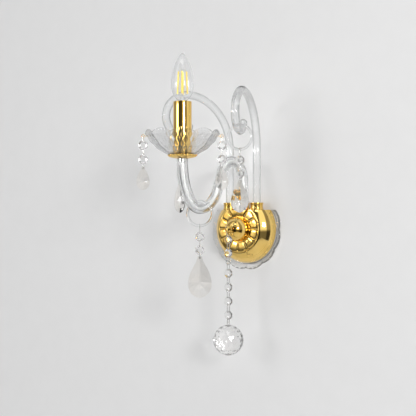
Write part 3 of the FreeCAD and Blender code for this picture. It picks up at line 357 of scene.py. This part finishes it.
def lobed(count, first, notch, start, edge):
    # radius drawn in by notch (2 t - 1)^2 between lobes, t the place across a lobe, from the start to the edge
    def shape(radius, height, angle):
        t = ((angle - math.radians(first)) * count / tau) % 1.0
        grow = np.clip((radius - start) / (edge - start), 0, 1)
        return radius - notch * grow * (2 * t - 1) ** 2, height
    return shape


def dishShape():
    edge = lobed(baseValues["lobes"], 0, baseValues["dishNotch"], 50, baseValues["dishRadius"])

    def shape(radius, height, angle):
        wide, high = edge(radius, height, angle)
        grow = np.clip((radius - 58) / 8, 0, 1)
        ribs = 0.35 * grow * np.cos(angle * baseValues["lobes"] * 4)
        return wide, np.where(height > 8, high + ribs, high)
    return shape


def cutLevel(piece, height):
    # Takes off what stands above a height in mm and closes the cut.
    work = bmesh.new()
    work.from_mesh(piece.data)
    cut = bmesh.ops.bisect_plane(work, geom=work.verts[:] + work.edges[:] + work.faces[:], dist=1e-7,
                                 plane_co=(0, 0, height * mm), plane_no=(0, 0, 1), clear_outer=True)
    rim = [item for item in cut["geom_cut"] if isinstance(item, bmesh.types.BMEdge)]
    bmesh.ops.edgenet_fill(work, edges=rim)
    bmesh.ops.recalc_face_normals(work, faces=work.faces)
    work.to_mesh(piece.data)
    work.free()
    piece.data.polygons.foreach_set("use_smooth", np.full(len(piece.data.polygons), True))
    piece.data.set_sharp_from_angle(angle=math.radians(35))
    return piece


add(halfBowl(baseValues), bowlGold, "frame", "gilt", "gold_bowl")

dishOutline = roundedOutline([(22, 2.5), (46.5, 2.5), (49, 0), (57, 0), (59.2, 2.6), (63.6, 4.6), (68.2, 8.6),
                              (68.3, 9.4), (66.5, 10.8), (62.5, 7.5), (58, 6.0), (22, 6.0)], 1.2, 5)
dish = turnedPiece("dish", dishOutline, 360, lying=True, shape=dishShape())
cutLevel(dish, baseValues["flat"])
add(dish, dishGlass, "frame", "glass", "glass_dish")


def rosetteShape(radius, height, angle):
    # twelve petals: the front rises by lift (1 - |2 t - 1|^n) sin(pi g)^0.3, t across a petal and g along it
    values = baseValues
    inner, outer = values["petalStart"], values["rosetteRadius"]
    t = (angle * values["lobes"] / tau) % 1.0
    grow = np.clip((radius - inner) / (outer - inner), 0, 1)
    lift = values["petalSwell"] - values["sheet"]
    petal = lift * (1 - np.abs(2 * t - 1) ** values["petalSides"]) * np.sin(math.pi * grow) ** 0.3
    front = height > values["seat"] + values["bowlFront"] + 0.5
    notch = values["rosetteNotch"] * grow ** 3 * (2 * t - 1) ** 2
    return radius - notch, np.where(front, height + petal, height)


def rosetteOutline(values):
    back = values["seat"] + values["bowlFront"]
    rod, edge, sheet = (values[key] for key in ("rodRadius", "rosetteRadius", "sheet"))
    front = np.linspace(edge, values["petalStart"], 40)
    return np.concatenate([[[rod, back], [20, back], [34, back], [edge, back]],
                           np.stack([front, np.full(40, back + sheet)], -1), [[rod, back + sheet]]])


rosette = turnedPiece("rosette", rosetteOutline(baseValues), 576, lying=True, shape=rosetteShape)
cutLevel(rosette, baseValues["flat"])
add(rosette, gold, "frame", "gilt", "rosette")


def bossOutline(values):
    # half ellipse R cos u, (D + c) sin u, cut flat at D for the finial, and a thinner one back inside
    seat = values["seat"] + values["bowlFront"] + values["sheet"]
    u = np.linspace(0, math.pi / 2, 60)
    sides = []
    sheet, crownHeight = values["sheet"], values["bossCrown"]
    for inset, crown in ((0.0, crownHeight), (sheet, crownHeight - 2 * sheet)):
        radius = (values["bossRadius"] - inset) * np.cos(u)
        depth = np.minimum((values["bossDepth"] + crown) * np.sin(u), values["bossDepth"])
        keep = radius > values["rodRadius"]
        end = [[values["rodRadius"], depth[keep][-1]]]
        sides.append(np.concatenate([np.stack([radius, depth], -1)[keep], end]))
    return np.concatenate([sides[0], sides[1][::-1]]) + np.array([0, seat])


boss = turnedPiece("boss", bossOutline(baseValues), 160, lying=True)
add(boss, bossGold, "frame", "gilt", "boss_cap")

collarValues = {"spacing": 26.7, "reach": 17.5, "flat": 32.0, "outside": 11.0, "height": 12.0}
for side, name, rod in ((-1, "left", 6.5), (0, "centre", 8.5), (1, "right", 6.5)):
    wide = collarValues["outside"]
    outline = roundedOutline([(3.2, -8), (5, -8), (5, 0), (wide, 0), (wide, 2.2), (wide - 0.8, 3),
                              (wide - 0.8, 9), (wide, 9.8), (wide, 12), (rod, 12), (rod, 2), (3.2, 2)], 0.5)
    collar = turnedPiece("collar_" + name + "_turned", outline, 72,
                         (side * collarValues["spacing"], -collarValues["reach"], collarValues["flat"]))
    add(collar, gold, "frame", "gilt", "collar_" + name)
print("base made")

# crooks and arm

crookValues = {"radius": 6.5, "start": 34.0, "fan": 17.5,
               "steps": [(99, 0), (86, 90), (50, 45), (33, 45), (27, 90), (20, 70)]}
spots, headings = bentPath((0, crookValues["start"]), crookValues["steps"])
closing = np.linspace(0, math.pi / 2, 14)[1:]
ahead = np.array([math.cos(headings[-1]), math.sin(headings[-1])])
radius = crookValues["radius"]
allSpots = np.concatenate([spots[:1], spots, spots[-1] + radius * np.sin(closing)[:, None] * ahead])
allHeadings = np.concatenate([headings[:1], headings, np.full(len(closing), headings[-1])])
allRadii = np.concatenate([[0], np.full(len(spots), radius), radius * np.cos(closing)])
crookRings = sweepRings(allSpots, allHeadings, allRadii, 48)
for side, name in ((-1, "left"), (1, "right")):
    placed = fanned(crookRings, side * crookValues["fan"], side * collarValues["spacing"],
                    -collarValues["reach"])
    crook = finishMesh("crook_" + name + "_rod", placed, gridFaces(*placed.shape[:2], False, True), 50)
    add(crook, clearGlass, "frame", "glass", "crook_" + name)

armValues = {"radius": 8.5, "bore": 4.0, "foot": 34.0, "top": 111.0, "arch": 33.0, "slope": 65.0,
             "valleyHeight": 33.5, "valley": 54.0, "riseRadius": 33.0, "rise": 50.0, "candleReach": 187.6,
             "end": 112.0}


def armSteps(values):
    # Rise, arch, slope, valley and rise; the last bend's radius closes the path on the candle.
    slope, lift = math.radians(values["slope"]), math.radians(values["rise"])
    straight = values["top"] - values["arch"] - values["foot"]
    archReach = collarValues["reach"] + values["arch"] * (1 + math.sin(slope))
    archHeight = values["foot"] + straight + values["arch"] * math.cos(slope)
    run = (archHeight - values["valleyHeight"] - values["valley"] * (1 - math.cos(slope))) / math.sin(slope)
    lowReach = archReach + run * math.cos(slope) + values["valley"] * math.sin(slope)
    last = (values["candleReach"] - lowReach - values["riseRadius"] * math.sin(lift)) / (1 - math.sin(lift))
    top = values["valleyHeight"] + values["riseRadius"] * (1 - math.cos(lift)) + last * math.cos(lift)
    return [(straight, 0), (values["arch"], 90 + values["slope"]), (run, 0),
            (values["valley"], -values["slope"]), (values["riseRadius"], -values["rise"]),
            (last, values["rise"] - 90), (values["end"] - top, 0)]


spots, headings = bentPath((collarValues["reach"], armValues["foot"]), armSteps(armValues))
outer = sweepRings(spots, headings, armValues["radius"], 56)
boreRadii = np.where(spots[:, 1] > armValues["end"] - 8, 5.0, armValues["bore"])
boreRadii = np.where(spots[:, 0] < 150, armValues["bore"], boreRadii)
inner = sweepRings(spots, headings, boreRadii, 56)
armRings = np.concatenate([outer, inner[::-1]])
arm = finishMesh("arm_tube", armRings, gridFaces(*armRings.shape[:2], True, True), 50)
add(arm, armGlass, "frame", "glass", "s_arm")
print("crooks and arm made")

# candle

candleY = -187.6
cupValues = {"flutes": 20, "notch": 0.9, "start": 12.0, "rim": 23.0, "height": 109.0, "hollow": 0.7}
cupOutline = roundedOutline([(5, 3), (8.5, 3), (8.5, 0), (10.5, 0), (20, 2.4), (23, 4.6), (23, 5.6),
                             (21.8, 5.6), (18.4, 4.2), (5, 4.2)], 0.4)


def cupShape(radius, height, angle):
    # leaves: the rim drawn in between them, and the underside hollowed by h (1 + cos n a) / 2, where h fades
    # out towards the foot and the rim
    values = cupValues
    leaves = lobed(values["flutes"], 0, values["notch"], values["start"], values["rim"])
    wide, high = leaves(radius, height, angle)
    hollow = values["hollow"] * np.clip((radius - 11) / 6, 0, 1) * np.clip((23.2 - radius) / 2, 0, 1)
    below = height < 0.42 * radius - 4.0
    return wide, high + np.where(below, hollow * (1 + np.cos(values["flutes"] * angle)) / 2, 0.0)


cup = turnedPiece("cup", cupOutline, 480, (0, candleY, cupValues["height"]), shape=cupShape)
add(cup, gold, "frame", "gilt", "candle_cup")

sleeveValues = {"inside": 13.0, "outside": 14.0, "length": 79.2, "seat": 116.4}
inside, outside, length = (sleeveValues[key] for key in ("inside", "outside", "length"))
sleeveOutline = roundedOutline([(inside, 0), (outside, 0), (outside, length), (inside, length)], 0.3)
sleeveOutline = np.insert(sleeveOutline, 10, [[outside, h] for h in (20, 40, 60)], 0)
sleeve = turnedPiece("sleeve", sleeveOutline, 96, (0, candleY, sleeveValues["seat"]))
add(sleeve, sleeveGold, "frame", "gilt", "candle_sleeve")

bobecheValues = {"sides": 10, "tip": 33.0, "arch": 6.0, "wall": 2.0, "radius": 57.0, "base": 17.5,
                 "seat": 113.2, "cutDepth": 0.8, "rimWall": 1.6, "hole": 5.0}


def bobecheBowl(values):
    # Ten-sided bowl: radius r(t) cos(pi/10) / cos(a'), a' the angle from a side's middle, so its corners are
    # sharp, and the rim rises by arch (1 - (a'/18 deg)^2) between them. Crossed cuts sink the outside by
    # depth |sin(u + w) sin(u - w)| in a band between foot and rim.
    half = math.pi / values["sides"]
    angle = np.linspace(0, tau, values["sides"] * 36, endpoint=False)[:, None]
    fromMiddle = (angle % (2 * half)) - half
    toSide = math.cos(half) / np.cos(fromMiddle)
    rim = values["arch"] * (1 - (fromMiddle / half) ** 2)
    tip, wide, base, wall, rimWall = (values[key] for key in ("tip", "radius", "base", "wall", "rimWall"))
    outsideR = np.array([base, base + 7, 0.69 * wide, 0.87 * wide, wide, wide + 0.85])
    outsideZ = np.array([0, 2.5, 0.34 * tip, 0.66 * tip, tip, tip + values["arch"]])
    insideR = np.array([base - 1.5, base + 5.5, 0.69 * wide - wall, 0.87 * wide - wall, wide - rimWall,
                        wide - rimWall + 0.85])
    insideZ = np.array([3.2, wall + 2.5, 0.34 * tip + 0.8 * wall, 0.66 * tip + 0.5 * wall, tip,
                        tip + values["arch"]])
    corner = np.linspace(0, 5, 6)
    t = np.linspace(0, 5, 70)
    outR, outZ = np.interp(t, corner, outsideR)[None], np.interp(t, corner, outsideZ)[None]
    inR, inZ = np.interp(t, corner, insideR)[None], np.interp(t, corner, insideZ)[None]
    ceiling = tip + rim
    band = np.clip((t - 0.9) * 2, 0, 1) * np.clip((4.2 - t) * 2, 0, 1)
    weave = np.abs(np.sin(angle * 15 + t * 2.6) * np.sin(angle * 15 - t * 2.6))
    flute = 0.6 * np.clip((t - 3.9), 0, 1) * np.abs(np.sin(angle * 30))
    cuts = values["cutDepth"] * (1 - weave) * band + flute
    outer = np.stack([(outR - cuts) * toSide * np.cos(angle), (outR - cuts) * toSide * np.sin(angle),
                      np.minimum(outZ, ceiling)], -1)
    inner = np.stack([inR * toSide * np.cos(angle), inR * toSide * np.sin(angle), np.minimum(inZ, ceiling)], -1)
    hole = values["hole"]
    floorOut = np.stack([hole * np.cos(angle), hole * np.sin(angle), 0 * angle], -1)
    floorIn = np.stack([hole * np.cos(angle), hole * np.sin(angle), 0 * angle + 3.2], -1)
    shell = np.concatenate([floorOut, outer, inner[:, ::-1], floorIn], 1)
    shell = shell + np.array([0, candleY, values["seat"]])
    return finishMesh("bobeche_bowl", shell, gridFaces(*shell.shape[:2], True, True), 28)


add(bobecheBowl(bobecheValues), cutGlass, "frame", "glass", "bobeche")

bulbValues = {"base": 172.2, "neck": 6.25, "belly": 17.5, "waist": 49.0, "length": 97.4, "low": 18.0,
              "glass": 0.8}


def bezier(poles, count=40):
    # Cubic Bezier curve through its first and last poles.
    t = np.linspace(0, 1, count)[:, None]
    a, b, c, d = (np.array(pole, float) for pole in poles)
    return (1 - t) ** 3 * a + 3 * t * (1 - t) ** 2 * b + 3 * t ** 2 * (1 - t) * c + t ** 3 * d


def bulbSide(values, inset):
    neck, belly, waist = values["neck"] - inset, values["belly"] - inset, values["waist"]
    low, top = values["low"] + inset, values["length"] - inset * 1.6
    shoulder = values["low"] + 6
    flare, swell, taper = (waist - shoulder) * 0.08, (waist - shoulder) * 0.74, (top - waist) * 0.4
    lower = bezier([(neck, shoulder), (neck, shoulder + flare), (belly, waist - swell), (belly, waist)])
    upper = bezier([(belly, waist), (belly, waist + taper), (belly / 2, top - 0.2 * taper), (0.0, top)])
    return np.concatenate([[[0, low], [neck, low]], lower, upper[1:]])


bulbOutline = np.concatenate([bulbSide(bulbValues, 0.0), bulbSide(bulbValues, bulbValues["glass"])[::-1]])
bulb = turnedPiece("bulb_envelope", bulbOutline, 96, (0, candleY, bulbValues["base"]))
add(bulb, bulbGlass, "bulb", "glass", "bulb_glass")
print("candle made")

# rings

# degrees that each string is turned about the upright
stringTurns = {"left": -17.5, "right": 17.5, "arm": 35, "cup_left": 36, "cup_right": 216}
ringValues = {"middle": 19.0, "wire": 2.0, "around": 160, "section": 32}


def glassRing(name, spot, degrees, values):
    # Torus: ((M + w cos b) cos a, 0, (M + w cos b) sin a) with w sin b across it, turned about the upright.
    a = np.linspace(0, tau, values["around"], endpoint=False)[:, None]
    b = np.linspace(0, tau, values["section"], endpoint=False)[None, :]
    out = values["middle"] + values["wire"] * np.cos(b)
    flat = np.stack([out * np.cos(a), values["wire"] * np.sin(b) + 0 * a, out * np.sin(a)], -1)
    placed = fanned(flat, degrees) + np.array(spot)
    return finishMesh(name, placed, gridFaces(*placed.shape[:2], True, True), 60)


for name in ("left", "right", "arm"):
    low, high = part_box(name + "_ring")
    middle = (np.array(low) + np.array(high)) / 2 / mm
    ring = glassRing(name + "_glass_ring", middle, stringTurns[name], ringValues)
    add(ring, clearGlass, name + "_ring", "glass", name + "_ring")
print("rings made")

# pear drops

# rim, shoulder and fan are painted shades for the rim facets, one shoulder and every other fan facet, the fan
# alternating each step of degrees
dropValues = {"wide": 0.56, "thick": 0.24, "edge": 0.9, "middle": 0.62, "holeInset": 4.0, "hole": 0.9,
              "outline": [(0, 0.20), (0.12, 0.30), (0.29, 0.64), (0.45, 0.88), (0.60, 1.0), (0.75, 0.97),
                          (0.88, 0.74), (0.96, 0.40)],
              "cuts": [0.0, 0.37, 0.62, 0.78, 0.90, 1.0], "rim": 0.5, "shoulder": 0.86, "fan": 0.95,
              "fanShadeStep": 25.0}
# length of each drop, and where its hole is
dropSpots = {"left": (50, (-57.980, -116.706, 72.821)), "right": (50, (57.980, -116.706, 72.821)),
             "arm": (65, (0, -142.064, -45.7)), "cup_left": (36, (-48.541, -222.867, 93)),
             "cup_right": (36, (48.541, -152.333, 93))}


def smoothCurve(points, steps=6):
    # Catmull-Rom curve from the first point to the last
    ends = np.concatenate([points[:1], points, points[-1:]])
    before, here, after, last = ends[:-3], ends[1:-2], ends[2:-1], ends[3:]
    t = np.linspace(0, 1, steps, endpoint=False)[None, :, None]
    curve = (2 * here[:, None] + (after - before)[:, None] * t
             + (2 * before - 5 * here + 4 * after - last)[:, None] * t ** 2
             + (3 * here - before - 3 * after + last)[:, None] * t ** 3) / 2
    return np.concatenate([curve.reshape(-1, 2), points[-1:]])


def facetPear(name, length, values):
    # Flat pear round its hole at the origin. Each facet is the plane through the middle point c, T out, and
    # two points of the edge, y = T + g . (p - c), so the edge dips between the cuts.
    half, thick, edge = length * values["wide"] / 2, length * values["thick"] / 2, values["edge"]
    side = np.array([(half * share, -length * down) for down, share in values["outline"]])
    side = smoothCurve(np.concatenate([side, [[0, -length]]]))
    side = np.clip(side, (0, -length), (half, 0))
    centre = np.array([0, -length * values["middle"]])
    cuts = [int(np.argmin(np.abs(side[:, 1] + length * down))) for down in values["cuts"]]
    cuts[-1] = len(side) - 1
    side = np.concatenate([[[0, 0]], side])
    cuts = [0] + [cut + 1 for cut in cuts[1:]]
    depth = np.full(len(side), edge)
    for first, last in zip(cuts[:-1], cuts[1:]):
        slope = np.linalg.solve(side[[first, last]] - centre, np.full(2, edge - thick))
        depth[first:last + 1] = thick + (side[first:last + 1] - centre) @ slope
    outline = np.concatenate([side, side[-2:0:-1] * (-1, 1)])
    depth = np.concatenate([depth, depth[-2:0:-1]])
    count = len(outline)
    front = np.stack([outline[:, 0], -depth, outline[:, 1]], -1)
    points = np.concatenate([front, front * (1, -1, 1), [[0, -thick, centre[1]], [0, thick, centre[1]]]])
    here = np.arange(count)
    after = (here + 1) % count
    faces = np.concatenate([np.stack([here, after, np.full(count, 2 * count)], -1),
                            np.stack([after, here, np.full(count, 2 * count)], -1) + [count, count, 1],
                            np.stack([here, here + count, after], -1),
                            np.stack([after, here + count, after + count], -1)])
    piece = finishMesh(name, points + np.array([0, 0, values["holeInset"]]), faces, smooth=False)
    hole = values["hole"]
    drill = turnedPiece("drill", [(0, -thick), (hole, -thick), (hole, thick), (0, thick)], 32, lying=True)
    boring = piece.modifiers.new("hole", "BOOLEAN")
    boring.object, boring.operation, boring.solver = drill, "DIFFERENCE", "EXACT"
    bored = bpy.data.meshes.new_from_object(piece.evaluated_get(bpy.context.evaluated_depsgraph_get()))
    piece.modifiers.clear()
    piece.data = bored
    bpy.data.objects.remove(drill)
    return piece


def paintFacetShade(piece, values):
    # One painted shade value per face: the rim facets dark, one shoulder grey and the fan below in two
    # alternating shades, alike on both faces.
    normals = np.array([face.normal[:] for face in piece.data.polygons])
    across, up = normals[:, 0], normals[:, 2]
    bearing = np.degrees(np.arctan2(across, up))
    facetShades = np.where(up > 0, np.where(across > 0, values["shoulder"], 1.0),
                     np.where(np.floor(bearing / values["fanShadeStep"]) % 2 == 0, values["fan"], 1.0))
    facetShades = np.where(np.abs(normals[:, 1]) < 0.5, values["rim"], facetShades)
    piece.data.attributes.new("facet_shade", "FLOAT", "FACE").data.foreach_set("value", facetShades.astype(np.float32))


for name, (length, spot) in dropSpots.items():
    drop = facetPear(name + "_pear", length, dropValues)
    # painted shade on the drop's facets
    paintFacetShade(drop, dropValues)
    turned = Matrix.Rotation(math.radians(stringTurns[name]), 4, "Z")
    drop.data.transform(Matrix.Translation(Vector(spot) * mm) @ turned)
    add(drop, dropCrystal, name + "_drop", "glass", name + "_drop")
print("drops made")

# stage, lights and camera

stageValues = {"wall": (0.86, 0.86, 0.86), "wallSize": 2.4, "floorDrop": 1.5}


def plane(name, corners, material):
    mesh = bpy.data.meshes.new(name)
    mesh.from_pydata(corners, [], [(0, 1, 2, 3)])
    piece = bpy.data.objects.new(name, mesh)
    bpy.context.scene.collection.objects.link(piece)
    mesh.materials.append(material)
    return piece


def wallMaterial():
    # Matt plaster, seen from the room only, so that the back of the object can be looked at.
    material, tree, shader = newMaterial("pale_wall")
    noise = noiseOn(tree, 30.0, 4.0)
    pale = stageValues["wall"]
    tree.links.new(ramp(tree, noise, tuple(c * 0.985 for c in pale), pale), shader.inputs["Base Color"])
    shader.inputs["Roughness"].default_value = 0.9
    shader.inputs["Specular IOR Level"].default_value = 0.1
    bump(tree, noise, shader, 0.05)
    geometry = tree.nodes.new("ShaderNodeNewGeometry")
    clear = tree.nodes.new("ShaderNodeBsdfTransparent")
    mix = tree.nodes.new("ShaderNodeMixShader")
    tree.links.new(geometry.outputs["Backfacing"], mix.inputs["Fac"])
    tree.links.new(shader.outputs["BSDF"], mix.inputs[1])
    tree.links.new(clear.outputs["BSDF"], mix.inputs[2])
    tree.links.new(mix.outputs["Shader"], tree.nodes["Material Output"].inputs["Surface"])
    return material


wallPaint = wallMaterial()
size, drop = stageValues["wallSize"], stageValues["floorDrop"]
plane("backdrop", [(-size, 0.0006, -drop), (size, 0.0006, -drop), (size, 0.0006, size), (-size, 0.0006, size)],
      wallPaint)
plane("floor", [(-size, -size, -drop), (size, -size, -drop), (size, size, -drop), (-size, size, -drop)],
      moulded("pale_floor", (0.80, 0.80, 0.80), (0.84, 0.84, 0.84), 0.8, scale=20.0, relief=0.02))

lights = [
    ("key", (2.1, -1.6, 0.55), (0.5, 0.5), 28.0),
    ("fill", (-0.9, -1.9, 0.35), (0.5, 0.5), 7.0),
    ("over", (0.3, -1.3, 1.9), (1.2, 0.5), 5.0),
]
for name, spot, (wide, high), watts in lights:
    lamp = bpy.data.lights.new(name, "AREA")
    lamp.shape = "RECTANGLE"
    lamp.size, lamp.size_y, lamp.energy = wide, high, watts
    holder = bpy.data.objects.new(name, lamp)
    holder.location = spot
    aim = Vector((0, -0.09, 0.05)) - Vector(spot)
    holder.rotation_euler = aim.to_track_quat("-Z", "Y").to_euler()
    bpy.context.scene.collection.objects.link(holder)

# the room round the object: a dim lower half rising to a pale ceiling, and by compass angle, in degrees from
# straight out of the wall towards +X, how bright each side is
roomValues = {"strength": 0.64, "low": 0.14, "high": 0.95, "horizon": (0.44, 0.50),
              "sides": [(-180, 0.8), (-90, 0.6), (-75, 0.5), (-51, 0.55), (-46, 1.9), (-17, 1.9), (-12, 0.12),
                        (32, 0.12), (37, 1.9), (63, 1.9), (68, 0.5), (104, 0.6), (112, 0.9), (180, 0.8)]}
world = bpy.data.worlds.new("studio")
world.use_nodes = True
background = world.node_tree.nodes["Background"]
skyCoords = world.node_tree.nodes.new("ShaderNodeTexCoord")
skySplit = world.node_tree.nodes.new("ShaderNodeSeparateXYZ")
skyLift = spread(world.node_tree, skySplit.outputs["Z"], 0.0, 1.0)
skyLift.node.inputs["From Min"].default_value = -1.0
world.node_tree.links.new(skyCoords.outputs["Generated"], skySplit.inputs["Vector"])
skyColour = ramp(world.node_tree, skyLift, [roomValues["low"]] * 3, [roomValues["high"]] * 3,
                 *roomValues["horizon"])


def sky(operation, first, second):
    # one sum in the world's nodes; each input is a socket or a number
    node = world.node_tree.nodes.new("ShaderNodeMath")
    node.operation = operation
    for socket, item in zip(node.inputs, (first, second)):
        if isinstance(item, (int, float)):
            socket.default_value = item
        else:
            world.node_tree.links.new(item, socket)
    return node.outputs["Value"]


compass = sky("ARCTAN2", skySplit.outputs["X"], sky("MULTIPLY", skySplit.outputs["Y"], -1.0))
sides = world.node_tree.nodes.new("ShaderNodeValToRGB")
sides.color_ramp.interpolation = "EASE"
stops = sides.color_ramp.elements
for index, (angle, level) in enumerate(roomValues["sides"]):
    end = index in (0, len(roomValues["sides"]) - 1)
    stop = stops[-1 if index else 0] if end else stops.new(angle / 360 + 0.5)
    stop.color = (level / 2, level / 2, level / 2, 1)  # a ramp holds 0 to 1
world.node_tree.links.new(sky("ADD", sky("DIVIDE", compass, tau), 0.5), sides.inputs["Fac"])
strength = sky("MULTIPLY", sides.outputs["Color"], roomValues["strength"] * 2)
world.node_tree.links.new(skyColour, background.inputs["Color"])
world.node_tree.links.new(strength, background.inputs["Strength"])
bpy.context.scene.world = world
bpy.context.scene.view_settings.view_transform = "Standard"

cameraValues = {"turn": 35.0, "aside": -68.7, "distance": 1600.0, "height": 18.5, "focalPx": 950.0,
                "framePx": 416.0, "horizonPx": 10.0}
turn = math.radians(cameraValues["turn"])
right = np.array([math.cos(turn), math.sin(turn), 0])
forward = np.array([-math.sin(turn), math.cos(turn), 0])
camera = bpy.data.cameras.new("camera")
camera.sensor_width = 36.0
camera.lens = 36.0 * cameraValues["focalPx"] / cameraValues["framePx"]
camera.shift_y = cameraValues["horizonPx"] / cameraValues["framePx"]
camera.clip_end = 50.0
holder = bpy.data.objects.new("camera", camera)
spot = cameraValues["aside"] * right - cameraValues["distance"] * forward
holder.location = (spot[0] * mm, spot[1] * mm, cameraValues["height"] * mm)
holder.rotation_euler = (math.pi / 2, 0, turn)
bpy.context.scene.collection.objects.link(holder)
bpy.context.scene.camera = holder
print("stage, lights and camera made")
